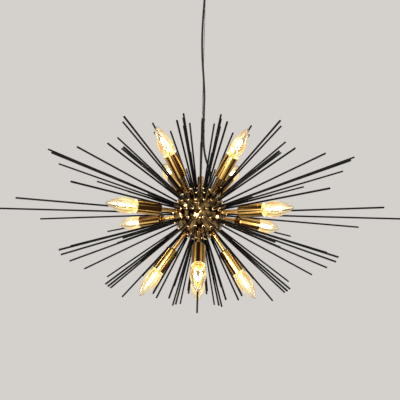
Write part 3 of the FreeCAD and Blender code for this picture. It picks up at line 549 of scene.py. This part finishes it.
def shell(name, from_height, to_height, rows):
    """A zone of a hollow ball between two heights: outer arc, inner arc, and the two edges between them."""
    outer = np.arcsin(np.clip(np.array([from_height, to_height]) / BALL, -1, 1))
    inner = np.arcsin(np.clip(np.array([to_height, from_height]) / (BALL - SHELL), -0.99, 0.99))
    climb = np.linspace(outer[0], outer[1], rows)
    back = np.linspace(inner[0], inner[1], 24)
    arc = np.stack([BALL * np.cos(climb), BALL * np.sin(climb)], axis=1)
    inside = np.stack([(BALL - SHELL) * np.cos(back), (BALL - SHELL) * np.sin(back)], axis=1)
    for end, step in ((0, 1), (-1, -1)):
        arc[end] = arc[end] - SEAM_LIP * arc[end + step] / BALL
    piece = turned(name, np.concatenate([arc, inside]), sides=256)
    points = points_of(piece)
    way = points / np.linalg.norm(points, axis=1)[:, None]
    nearest = np.arccos(np.clip((way @ ALL_WAYS.T).max(axis=1), -1, 1)) * BALL
    # A mask of painted shade round each rod's foot, darkest next to the collar.
    mark(piece, "painted_shade", np.clip(1 - (nearest - PAINTED_SHADE_START) / PAINTED_SHADE_WIDTH, 0, 1) ** 2)
    return piece


hub_cap = shell("ball_cap", math.sqrt(BALL ** 2 - STEM_HOLE ** 2), SEAM_HEIGHT + SEAM_GAP, rows=110)
hub_bowl = shell("ball_bowl", SEAM_HEIGHT - SEAM_GAP, -math.sqrt(BALL ** 2 - FINIAL_HOLE ** 2), rows=150)
for piece, node in ((hub_cap, "hub_cap"), (hub_bowl, "hub_bowl")):
    dress(piece, "hub", node, slot="polished_brass", finish=ball_brass)


def add_painted_shade(material):
    """Paints shade on a finish: darkens it where the painted shade mask is high, between its tone group and
    the shader.
    """
    tree = material.node_tree
    base = tree.nodes["Principled BSDF"].inputs["Base Color"]
    mask = add_node(tree, "Attribute", attribute_name="painted_shade")
    # The colour of the painted shade.
    mix = add_node(tree, "Mix", data_type="RGBA", B=(0.07, 0.035, 0.012, 1))
    wire(tree, (mask.outputs["Fac"], mix.inputs["Factor"]), (base.links[0].from_socket, mix.inputs["A"]),
         (mix.outputs["Result"], base))


# Painted shade round the foot of every rod on the ball.
add_painted_shade(ball_brass)

# %% [markdown]
# The rods are straight 4 mm bars, painted satin black, each screwed into the ball through a small brass
# collar. There are 121 of them, so each has few faces: a twelve-sided bar with a rounded end. Where each
# one points, and how far it reaches, is read from the frame.

# %% Rods and their collars
ROD_FOOT = 57 * MM
COLLAR_RADIUS = 3.5 * MM
ROD_RADIUS = ROD_DIAMETER / 2
NOSE = 0.5 * MM  # length of a rod's rounded end
LEVEL = 0.02  # a rod that climbs no more than this has a lower collar
# Only the foot and the nose are drawn. The nose is then moved out to each rod's own reach.
ROD_OUTLINE = np.array([(0, 0), (ROD_RADIUS, 0), (ROD_RADIUS, 0.01 * NOSE), (0.93 * ROD_RADIUS, 0.7 * NOSE),
                        (0.8 * ROD_RADIUS, NOSE), (0, NOSE)]) + (0, ROD_FOOT)
for name, (ways, reaches) in RODS.items():
    rods = turned(name.replace("rods", "bars"), ROD_OUTLINE, ways, sides=12, beyond=ROD_FOOT,
                  reaches=reaches - ROD_FOOT - NOSE)
    dress(rods, "hub", name, slot="black_rod", finish=rod_black)

COLLAR_OUTLINE = soften([
    (ROD_RADIUS, BALL - 0.5 * MM), (COLLAR_RADIUS, BALL - 0.5 * MM), (COLLAR_RADIUS, BALL + 1.2 * MM),
    (COLLAR_RADIUS - 0.7 * MM, BALL + 2 * MM), (ROD_RADIUS, BALL + 2 * MM)], 0.25 * MM, 1)
for name, upper in (("collars_upper", True), ("collars_lower", False)):
    low, high = corners(name)[:, 2]
    chosen = [way for way in ALL_WAYS
              if low <= HUB[2] + BALL * way[2] <= high and (way[2] > LEVEL) == upper]
    collars = turned(name.replace("collars", "ferrules"), COLLAR_OUTLINE, chosen, sides=16)
    dress(collars, "hub", name, slot="collar_brass", finish=collar_brass)
    print(name, len(chosen))

# %% [markdown]
# A lamp is an arm, a cup, a holder inside the cup, and a candle bulb. Arm and cup are drawn brass tube,
# so their lines run lengthwise and their mirror streaks do too: bright lines from the lamps, and painted
# reflections, dark and light streaks in their colour. Edges are rounded by a few tenths of a millimetre:
# with no rounding a lip has no highlight, and looks cut from paper.

# %% Arms and cups
ARM_RADIUS = 4.5 * MM
CUP_START = 102 * MM
CUP_MOUTH = 160 * MM
CUP_RADIUS = 15 * MM
CUP_WALL = 1.2 * MM
CUP_FLOOR = 3 * MM

arms = turned("arm_tubes", soften([
    (2.5 * MM, BALL - 2 * MM), (ARM_RADIUS, BALL - 2 * MM), (ARM_RADIUS, BALL - 0.3 * MM),
    (ARM_RADIUS + 1.3 * MM, BALL - 0.3 * MM), (ARM_RADIUS + 1.3 * MM, BALL + 1.6 * MM),
    (ARM_RADIUS, BALL + 2.2 * MM), (ARM_RADIUS, CUP_START), (2.5 * MM, CUP_START)], 0.4 * MM, 2),
    LAMP_WAYS, sides=32)
dress(arms, "hub", "lamp_arms", slot="arm_brass", finish=arm_brass)

cups = turned("cup_shells", soften([
    (ARM_RADIUS - 0.5 * MM, CUP_START), (CUP_RADIUS - 2.2 * MM, CUP_START),
    (CUP_RADIUS, CUP_START + 2.2 * MM), (CUP_RADIUS, CUP_MOUTH), (CUP_RADIUS - CUP_WALL, CUP_MOUTH),
    (CUP_RADIUS - CUP_WALL, CUP_START + CUP_FLOOR), (ARM_RADIUS - 0.5 * MM, CUP_START + CUP_FLOOR)],
    0.45 * MM, 3), LAMP_WAYS, sides=64)
dress(cups, "hub", "lamp_cups", slot="cup_brass", finish=cup_brass)

# %% [markdown]
# A candle bulb is a thin clear glass blown to a flame's outline, on a brass screw cap. Inside stand a
# glass mount and a bright filament. When it is lit, the filament's glare fills the glass, white in the
# body and fading to clear towards the tip, so the glass itself carries a soft warm light that fades.

# %% Bulb shapes
BULB_TIP = 228 * MM
BULB_WIDEST = 183 * MM
BULB_NECK = 152 * MM
GLASS_WALL = 0.8 * MM
NECK_RADIUS = 8.5 * MM
GLASS_RADIUS = 17.5 * MM


def candle_radius(height):
    """Glass radius at a height: neck + swell * (1 - s^2)^1.18 up to the widest place, then a pointed arch,
    widest * (1 - t^1.6)^0.77, where s and t are the shares of the way down and up from there."""
    above = np.clip((height - BULB_WIDEST) / (BULB_TIP - BULB_WIDEST), 0, 1)
    below = np.clip((BULB_WIDEST - height) / (BULB_WIDEST - BULB_NECK), 0, 1)
    upper = GLASS_RADIUS * (1 - above ** 1.6) ** 0.77
    lower = NECK_RADIUS + (GLASS_RADIUS - NECK_RADIUS) * (1 - below ** 2) ** 1.18
    return np.where(height > BULB_WIDEST, upper, lower)


def heights(top, below, above):
    """Heights from the neck: below points to the widest place, then above points that crowd to the top."""
    return np.concatenate([np.linspace(BULB_NECK, BULB_WIDEST, below)[:-1],
                           BULB_WIDEST + (top - BULB_WIDEST) * (1 - np.linspace(1, 0, above) ** 2)])


# The closed outline goes up the outside to the tip, and down the inside one wall thickness in.
inside_top = BULB_TIP - 2.2 * GLASS_WALL
outside = heights(BULB_TIP, 18, 34)
inside = heights(inside_top, 14, 24)
stretched = BULB_WIDEST + (inside - BULB_WIDEST) * (BULB_TIP - BULB_WIDEST) / (inside_top - BULB_WIDEST)
shape_at = np.where(inside > BULB_WIDEST, stretched, inside)
wall = GLASS_WALL * np.clip((inside_top - inside) / (6 * MM), 0, 1)
GLASS_OUTLINE = np.concatenate([
    np.stack([candle_radius(outside), outside], axis=1),
    np.stack([np.maximum(candle_radius(shape_at) - wall, 0), inside], axis=1)[::-1]])

GLASS_GLOW = (  # share of the way from the neck to the tip, and the light's colour there
    (0.0, (0.25, 0.04, 0.005)),
    (0.08, (0.24, 0.10, 0.005)),
    (0.20, (0.15, 0.12, 0.010)),
    (0.45, (0.120, 0.100, 0.030)),
    (0.75, (0.050, 0.038, 0.015)),
    (0.95, (0.010, 0.005, 0.002)),
)
# Painted light: the bulb's glow on its cup, which gives its own light inside and on its lip.
CUP_PAINTED_GLOW = (  # share of the way from the cup's floor to its lip, on its inside and its lip
    (0.30, (0.0, 0.0, 0.0)),
    (0.60, (0.80, 0.08, 0.0)),
    (0.78, (1.0, 0.72, 0.0)),
    (0.93, (1.0, 0.95, 0.70)),
)
CLEAR = {"Transmission_Weight": 1.0, "Roughness": 0.0, "IOR": 1.45}
HOT = (1.0, 0.90, 0.80, 1)


def shine(material, label, steps, streaks=None):
    """Lets a finish give its own light: a colour by steps of an attribute, times a second colour if given."""
    tree = material.node_tree
    shader = tree.nodes["Principled BSDF"]
    ramp = add_node(tree, "ValToRGB")
    stops = ramp.color_ramp.elements
    for stop, (position, colour) in zip((stops[0], stops[1]), (steps[0], steps[-1])):
        stop.position, stop.color = position, (*colour, 1)
    for position, colour in steps[1:-1]:
        stops.new(position).color = (*colour, 1)
    light = ramp.outputs["Color"]
    if streaks:
        product = add_node(tree, "Mix", data_type="RGBA", blend_type="MULTIPLY", Factor=1.0)
        wire(tree, (light, product.inputs["A"]), (streaks, product.inputs["B"]))
        light = product.outputs["Result"]
    shader.inputs["Emission Strength"].default_value = 1.0
    wire(tree, (add_node(tree, "Attribute", attribute_name=label).outputs["Fac"], ramp.inputs["Fac"]),
         (light, shader.inputs["Emission Color"]))


def warm_glass():
    """Clear glass that glows by its place between neck and tip, less in the streaks that run along it."""
    material, tree, shader = new_material("warm_glass", **CLEAR)
    where = add_node(tree, "Attribute", attribute_name="own").outputs["Vector"]
    tint = drifting(tree, where, (1.0, 0.97, 0.80), (1.0, 0.46, 0.20), (150.0, 150.0, 22.0),
                    (0.54, 0.68), 2.0)
    tree.links.new(tint, shader.inputs["Base Color"])
    shine(material, "glow", GLASS_GLOW,
          drifting(tree, where, (1.0, 1.0, 1.0), (0.30, 0.12, 0.05), (170.0, 170.0, 26.0), (0.45, 0.62), 2.0))
    return material


bulb_glass = warm_glass()
mount_glass = new_material("mount_glass", Base_Color=(0.96, 0.97, 0.94, 1), **CLEAR)[0]
hot_wire = new_material("hot_wire", Base_Color=HOT, Roughness=0.6, Emission_Color=HOT,
                        Emission_Strength=6.0)[0]
FILAMENT_FOOT = 165 * MM
FILAMENT_TOP = 198 * MM
FILAMENT_SPREAD = 5.5 * MM
FILAMENT_RADIUS = 0.8 * MM
WINDING_RADIUS = 2.2 * MM
WINDINGS = 13
# The filament goes up one side, over in an arch and down the other, wound as an open coil.
share = np.linspace(0, 1, 260)
FILAMENT = np.stack([-FILAMENT_SPREAD * np.cos(math.pi * share), np.zeros_like(share),
                     FILAMENT_FOOT + (FILAMENT_TOP - FILAMENT_FOOT) * np.sin(math.pi * share) ** 0.6], axis=1)
FILAMENT[:, 0] += WINDING_RADIUS * np.cos(share * 2 * math.pi * WINDINGS)
FILAMENT[:, 1] += WINDING_RADIUS * np.sin(share * 2 * math.pi * WINDINGS)


def placed(piece, way):
    """Turns a piece that was made on the upright axis to a lamp's direction, in its mesh."""
    flat = np.empty(len(piece.data.vertices) * 3)
    piece.data.vertices.foreach_get("co", flat)
    points = flat.reshape(-1, 3) @ frames_along(way)[0].T + HUB
    piece.data.vertices.foreach_set("co", points.ravel())
    piece.data.update()
    return piece


MOUNT_OUTLINE = soften([
    (0, BULB_NECK - 1 * MM), (6.5 * MM, BULB_NECK - 1 * MM), (4.2 * MM, BULB_NECK + 5 * MM),
    (2 * MM, BULB_NECK + 9 * MM), (1.6 * MM, FILAMENT_FOOT - 2 * MM), (0, FILAMENT_FOOT - 1 * MM)],
    0.8 * MM, 2)

for number, way in enumerate(LAMP_WAYS, start=1):
    body = f"bulb_{number}"
    glass = turned(f"candle_glass_{number}", GLASS_OUTLINE, [way])
    mark(glass, "glow", (points_of(glass) @ way - BULB_NECK) / (BULB_TIP - BULB_NECK))
    dress(glass, body, f"bulb_glass_{number}", slot="clear_glass", finish=bulb_glass)
    filament = placed(tube(f"filament_{number}", FILAMENT, FILAMENT_RADIUS, sides=6), way)
    dress(filament, body, slot="plated_steel", finish=hot_wire)
    mount = turned(f"glass_mount_{number}", MOUNT_OUTLINE, [way], sides=16)
    dress(mount, body, slot="clear_glass", finish=mount_glass)


def mark_painted_glow(piece):
    """Marks a painted bulb glow on the cup, inside and on the lip, by the share of the way to the mouth."""
    points = points_of(piece)
    along = (points @ LAMP_WAYS.T).max(axis=1)
    aside = np.sqrt(np.maximum((points ** 2).sum(axis=1) - along ** 2, 0))
    inside = (aside < CUP_RADIUS - CUP_WALL / 2) & (along > CUP_START + 0.9 * CUP_FLOOR)
    lit = inside | (along > CUP_MOUTH - 0.3 * MM)
    mark(piece, "lit", np.where(lit, (along - CUP_START) / (CUP_MOUTH - CUP_START), 0))


mark_painted_glow(cups)
# The cup's inside and lip glow: a painted light of its bulb.
shine(cup_brass, "lit", CUP_PAINTED_GLOW)

# %% Bulb caps
CAP_FOOT = 128 * MM
CAP_RADIUS = 7 * MM


THREAD_PITCH = 2.8 * MM
THREAD_WAVE = 0.35 * MM
# From the foot up: contact, insulator slope, a shell whose radius ripples as a rolled thread, and a flare.
along = np.linspace(CAP_FOOT + 5 * MM, CAP_FOOT + 20 * MM, 60)
thread = CAP_RADIUS - THREAD_WAVE + THREAD_WAVE * np.cos((along - along[0]) * 2 * math.pi / THREAD_PITCH)
CAP_OUTLINE = np.concatenate([
    [(0, CAP_FOOT), (3 * MM, CAP_FOOT + 0.2 * MM), (3 * MM, CAP_FOOT + 1.5 * MM),
     (5.5 * MM, CAP_FOOT + 3.5 * MM)], np.stack([thread, along], axis=1),
    [(NECK_RADIUS, CAP_FOOT + 23 * MM), (NECK_RADIUS, CAP_FOOT + 24 * MM), (0, CAP_FOOT + 24 * MM)]])
for number, way in enumerate(LAMP_WAYS, start=1):
    cap = turned(f"screw_cap_{number}", CAP_OUTLINE, [way], sides=32)
    dress(cap, f"bulb_{number}", f"bulb_cap_{number}", slot="bulb_cap_brass", finish=cap_brass)

# %% [markdown]
# The stem and the finial hold the two shells together. They are small, but they sit where the eye looks
# for how the light is made: a brass tube with a stepped foot on top, and a little domed nut below.

# %% Stem and finial
stem = turned("stem_turned", soften([
    (CABLE_DIAMETER / 2 + 0.1 * MM, 50 * MM), (6 * MM, 50 * MM), (6 * MM, BALL - 0.8 * MM),
    (7.5 * MM, BALL - 0.8 * MM), (7.5 * MM, BALL + 3 * MM), (7.1 * MM, BALL + 3.3 * MM),
    (7.1 * MM, BALL + 22 * MM), (7.5 * MM, BALL + 22.4 * MM), (7.5 * MM, BALL + 25.6 * MM),
    (5 * MM, BALL + 28.2 * MM), (CABLE_DIAMETER / 2 + 0.1 * MM, BALL + 28.2 * MM)], 0.35 * MM, 2))
dress(stem, "hub", "top_stem", slot="polished_brass", finish=arm_brass)
finial = turned("finial_turned", soften([
    (0, -BALL + 0.4 * MM), (6 * MM, -BALL + 0.4 * MM), (6 * MM, -BALL - 3.2 * MM), (4 * MM, -BALL - 5.2 * MM),
    (4.6 * MM, -BALL - 6.4 * MM), (3.2 * MM, -BALL - 8.6 * MM), (0, -BALL - 8.6 * MM)], 0.5 * MM, 3))
dress(finial, "hub", "finial_nut", slot="polished_brass", finish=arm_brass)

# %% [markdown]
# The canopy is a spun cup that closes against the ceiling. Below it show two domed nuts, the gripper that
# holds the cable, and the bush for the cord. Spinning leaves very fine rings, so here the lines of the
# finish run round the piece. Its brass is darker and duller than the ball's, as it isn't handled.

# %% Canopy and its nuts
CANOPY_SIZE = np.ptp(corners("canopy"), axis=0)
CANOPY_RADIUS = CANOPY_SIZE[0] / 2
FACE = -CANOPY_SIZE[2]  # height of the canopy's underside
CANOPY_WALL = 1.5 * MM
ORIGIN = (0, 0, 0)
canopy = turned("canopy_spun", soften([
    (6 * MM, FACE), (CANOPY_RADIUS - 6 * MM, FACE), (CANOPY_RADIUS, FACE + 6 * MM), (CANOPY_RADIUS, 0),
    (CANOPY_RADIUS - CANOPY_WALL, 0), (CANOPY_RADIUS - CANOPY_WALL, FACE + 6.6 * MM),
    (CANOPY_RADIUS - 6.6 * MM, FACE + CANOPY_WALL), (6 * MM, FACE + CANOPY_WALL)],
    2 * MM, 5), foot=ORIGIN, sides=128)
dress(canopy, "ceiling_fixing", "canopy", slot="antique_brass", finish=canopy_brass)

NUT_RADIUS = 4.5 * MM


def hexagon(angle, height):
    """Radius factor of a hexagon with rounded corners below the dome, which is round."""
    wedge = (angle + math.pi / 6) % (math.pi / 3) - math.pi / 6
    return np.where(height > FACE - 4.2 * MM, 0.88 / np.cos(wedge), 0.9)


nut_low, nut_high = corners("canopy_cap_nuts")
nut_outline = soften([(0, nut_high[2]), (NUT_RADIUS, nut_high[2]), (NUT_RADIUS, FACE - 4 * MM),
                      (0.8 * NUT_RADIUS, FACE - 4.6 * MM), (0.75 * NUT_RADIUS, nut_low[2] + 2 * MM),
                      (0.35 * NUT_RADIUS, nut_low[2]), (0, nut_low[2])], 0.5 * MM, 3)
for side, x in (("left", nut_low[0] + NUT_RADIUS), ("right", nut_high[0] - NUT_RADIUS)):
    nut = turned(f"cap_nut_{side}", nut_outline, foot=(x, 0, 0), shape=hexagon)
    dress(nut, "ceiling_fixing", "canopy_cap_nuts", slot="antique_brass", finish=canopy_brass)

# %% Gripper and bushes
low, high = corners("cable_gripper")[:, 2]
gripper = turned("gripper_turned", soften([
    (3.2 * MM, high), (5 * MM, high), (5 * MM, FACE), (6.5 * MM, FACE), (6.5 * MM, FACE - 5 * MM),
    (5.9 * MM, FACE - 5.6 * MM), (5.9 * MM, FACE - 11 * MM), (6.5 * MM, FACE - 11.6 * MM), (6.2 * MM, low),
    (4.6 * MM, low), (3.8 * MM, FACE - 10 * MM), (3.8 * MM, FACE - 4 * MM), (3.2 * MM, FACE - 3 * MM)],
    0.4 * MM, 2), foot=ORIGIN)
dress(gripper, "ceiling_fixing", "cable_gripper", slot="antique_brass", finish=arm_brass)

CORD_BUSH = (0.0, -17 * MM, 0.0)
low, high = corners("cord_bush")[:, 2]
bush = turned("bush_moulded", soften([
    (4.3 * MM, high), (5.5 * MM, high), (5.5 * MM, FACE), (7 * MM, FACE), (7 * MM, low + 0.8 * MM),
    (6.2 * MM, low), (5.2 * MM, low), (4.3 * MM, low + 2.5 * MM)], 0.4 * MM, 2), foot=CORD_BUSH, sides=40)
dress(bush, "ceiling_fixing", "cord_bush", slot="black_plastic", finish=moulded_black)


def relief_outline(start, end, thick, thin, ribs=5):
    """A ribbed taper round the cord: the radius falls evenly from thick to thin, with grooves in it."""
    along = np.linspace(start, end, ribs * 8 + 1)
    share = (along - start) / (end - start)
    groove = 0.35 * MM * np.clip(np.sin(share * ribs * 2 * math.pi), 0, 1)
    outer = np.stack([thick + (thin - thick) * share - groove, along], axis=1)
    bore = CORD_DIAMETER / 2 + 0.05 * MM
    return np.concatenate([outer, [(bore, end), (bore, start)]])


upper_relief = turned("cord_relief", relief_outline(-34 * MM, -56 * MM, 3.9 * MM, 3 * MM),
                      foot=CORD_BUSH, sides=32)
dress(upper_relief, "suspension", slot="black_plastic", finish=moulded_black)
gland = turned("gland_moulded", np.concatenate([
    [(CORD_DIAMETER / 2, BALL - 4 * MM), (3.8 * MM, BALL - 4 * MM), (3.8 * MM, BALL - 0.4 * MM),
     (4.8 * MM, BALL - 0.4 * MM), (4.8 * MM, BALL + 2.4 * MM)],
    relief_outline(BALL + 3 * MM, BALL + 20 * MM, 4.2 * MM, 2.9 * MM)]), [GLAND_WAY], sides=32)
dress(gland, "hub", "cord_gland", slot="black_plastic", finish=moulded_black)

# %% [markdown]
# Two thin straps tie the cord to the cable. Each is a band round both: its outline is the tight loop that
# a string would make round two circles, which a support function gives in one line.

# %% Straps
STRAP_WIDTH = 6 * MM
STRAP_WALL = 0.8 * MM
CORD_BESIDE = 3.8 * MM
STRAP_STEPS = 64
CORE_SHOWN = 4 * MM  # of the two cores between the sheath's end and the terminal block


def strap_loop(out):
    """The tight loop round cable and cord, out beyond them: the circle that reaches farther each way."""
    angle = np.arange(STRAP_STEPS) * 2 * math.pi / STRAP_STEPS
    normal = np.stack([np.cos(angle), np.sin(angle)], axis=1)
    centres = np.array([(0.0, 0.0), (CORD_BESIDE, 0.0)])
    radii = np.array([CABLE_DIAMETER / 2, CORD_DIAMETER / 2])
    farther = (normal @ centres.T + radii).argmax(axis=1)
    return centres[farther] + (radii[farther] + out)[:, None] * normal


def strap(name, height):
    """A band: the loop at six places of its thin section, from inner edge out, up and back."""
    half = STRAP_WIDTH / 2
    section = [(0.05 * MM, -half), (0.6 * STRAP_WALL, -half), (STRAP_WALL, -half + 0.4 * MM),
               (STRAP_WALL, half - 0.4 * MM), (0.6 * STRAP_WALL, half), (0.05 * MM, half)]
    points = np.concatenate([np.insert(strap_loop(out), 2, height + rise, axis=1) for out, rise in section])
    return make_piece(name, points, grid_faces(len(section), STRAP_STEPS, closed_rows=True), points - HUB)


def upright(x, y, z):
    """A line of points whose x, y and z may each be one number or many."""
    return np.stack(np.broadcast_arrays(x, y, z), axis=1)


# The sheath's stretch in the canopy bows out sideways by a sine arch. Its two cores go on from its end.
low, high = corners("cord_tail")
x, y = (low + high)[:2] / 2
share = np.linspace(0, 1, 16)
inside_pieces = [tube("cord_sheath_inside", upright(
    x + 0.5 * MM * np.sin(math.pi * share), y, low[2] + (high[2] - low[2] - CORE_SHOWN) * share),
    CORD_DIAMETER / 2)]
for side, sign in (("left", -1), ("right", 1)):
    core = upright(x + sign * (0.9 + 0.3 * share) * MM, y, high[2] - (CORE_SHOWN + 1 * MM) * (1 - share))
    inside_pieces.append(tube(f"cord_core_{side}", core, 0.8 * MM, sides=10))
for piece, coat in zip(inside_pieces, (cord_black, core_brown, core_blue)):
    dress(piece, "ceiling_fixing", "cord_tail", slot="cord_sheath", finish=coat)

low, high = corners("cord_clips")[:, 2]
straps = [strap(f"cord_strap_{place}", height) for place, height in
          (("low", low + STRAP_WIDTH / 2), ("high", high - STRAP_WIDTH / 2))]
for band in straps:
    dress(band, "suspension", "cord_clips", slot="clip_plastic", finish=cord_black)

# %% [markdown]
# What sits inside the canopy, the ball and the cups is seen only from odd angles, through a mouth or from
# above. Its solids already have the right shape, so they keep it and get a finish each.

# %% Finishes for the solids that stay
STEEL_KEPT = ("ceiling_crossbar", "crossbar_studs", "gripper_nut", "swivel_washer", "cable_ball",
              "cable_stop", "stem_nut", "tie_rod", "lamp_arm_nuts")
WHITE_KEPT = ("terminal_block", "lead_connector", "lampholders")
for names, material in ((STEEL_KEPT, zinc_steel), (WHITE_KEPT, moulded_white)):
    for name in names:
        materials = frame["nodes"][name].data.materials
        materials.clear()
        materials.append(material)

# %% [markdown]
# The stage is a pale floor far below and a pale surround. The world gives soft light from all round, and
# its colour is what the camera, metal and glass see. Lamps at both sides draw bright lines down the cups
# and arms. In front, a small lamp and three crossed strips are mirrored as the star on the ball.

# %% Stage and light
SURROUND = (0.66, 0.63, 0.60, 1)
SOFT_WHITE = (1, 0.98, 0.95, 1)
FLOOR_RADIUS = 9
FLOOR_HEIGHT = -2.3
FLOOR_SIDES = 96
FLOOR_GLOW = 0.84  # strength of its own light, that with the lamps' makes it as bright as the surround
FRONT = (-10, -19, 1.7)
# Degrees to the right of the front, degrees above the ball, metres off, size in metres, watts.
LAMPS = {
    "key": (-69, 27, 2.2, 0.6, 16),
    "warm_back": (97, 16, 2.2, 0.35, 6, (1.0, 0.82, 0.6)),
    "side_left": (-88, -6.5, 2.2, 0.55, 19),
    "side_right": (87, -12, 2.2, 0.55, 19),
    "front_spark": (*FRONT, 0.34, 22),
}
STRIP_WIDTH = 0.07
STRIPS = ((48, 1.5, 24.0), (-42, 1.0, 17.0), (4, 0.9, 13.0))  # degrees turned, length, watts


def pale_world():
    """SURROUND for camera, mirror and glass rays, and a plain white of lower strength for the light."""
    world = bpy.data.worlds.new("surround")
    world.use_nodes = True
    tree = world.node_tree
    tree.nodes.clear()
    seen = add_node(tree, "Background", Color=SURROUND)
    light = add_node(tree, "Background", Color=SOFT_WHITE, Strength=0.55)
    path = add_node(tree, "LightPath").outputs
    either = add_node(tree, "Math", operation="MAXIMUM")
    any_of = add_node(tree, "Math", operation="MAXIMUM")
    mix = add_node(tree, "MixShader")
    wire(tree, (path["Is Camera Ray"], either.inputs[0]), (path["Is Glossy Ray"], either.inputs[1]),
         (either.outputs["Value"], any_of.inputs[0]), (path["Is Transmission Ray"], any_of.inputs[1]),
         (any_of.outputs["Value"], mix.inputs["Fac"]), (light.outputs["Background"], mix.inputs[1]),
         (seen.outputs["Background"], mix.inputs[2]),
         (mix.outputs["Shader"], add_node(tree, "OutputWorld").inputs["Surface"]))
    bpy.context.scene.world = world


def soft_lamp(name, azimuth, climb, distance, size, power, colour=(1, 1, 1), width=None, roll=0.0):
    """An area lamp at an angle round the ball and a height above it, aimed at the ball.

    Where width is given it is a strip, turned about its own line of sight by roll degrees."""
    data = bpy.data.lights.new(name, "AREA")
    data.size = size
    if width:
        data.shape = "RECTANGLE"
        data.size_y = width
    data.energy = power
    data.color = colour
    lamp = in_scene(name, data)
    a, e = math.radians(azimuth), math.radians(climb)
    way = Vector((math.cos(e) * math.sin(a), -math.cos(e) * math.cos(a), math.sin(e)))
    lamp.location = Vector(HUB) + way * distance
    lamp.rotation_mode = "QUATERNION"
    lamp.rotation_quaternion = (-way).to_track_quat("-Z", "Y") @ Quaternion(UP, math.radians(roll))


pale_world()
# The floor is a ring of points at the rim and one in the middle. Most of its tone is its own light, so
# that it meets the surround with little of an edge and shows few pools.
angle = np.arange(FLOOR_SIDES) * 2 * math.pi / FLOOR_SIDES
rim = upright(FLOOR_RADIUS * np.cos(angle), FLOOR_RADIUS * np.sin(angle), FLOOR_HEIGHT)
floor = make_piece("floor", np.concatenate([rim * UP, rim]), grid_faces(2, FLOOR_SIDES))
floor.data.materials.append(new_material(
    "pale_floor", Base_Color=(0.16, 0.155, 0.15, 1), Roughness=0.9, Emission_Color=SURROUND,
    Emission_Strength=FLOOR_GLOW)[0])
for name, settings in LAMPS.items():
    soft_lamp(name, *settings)
for number, (roll, length, power) in enumerate(STRIPS, start=1):
    soft_lamp(f"front_strip_{number}", *FRONT, length, power, width=STRIP_WIDTH, roll=roll)
bpy.context.scene.view_settings.view_transform = "Standard"
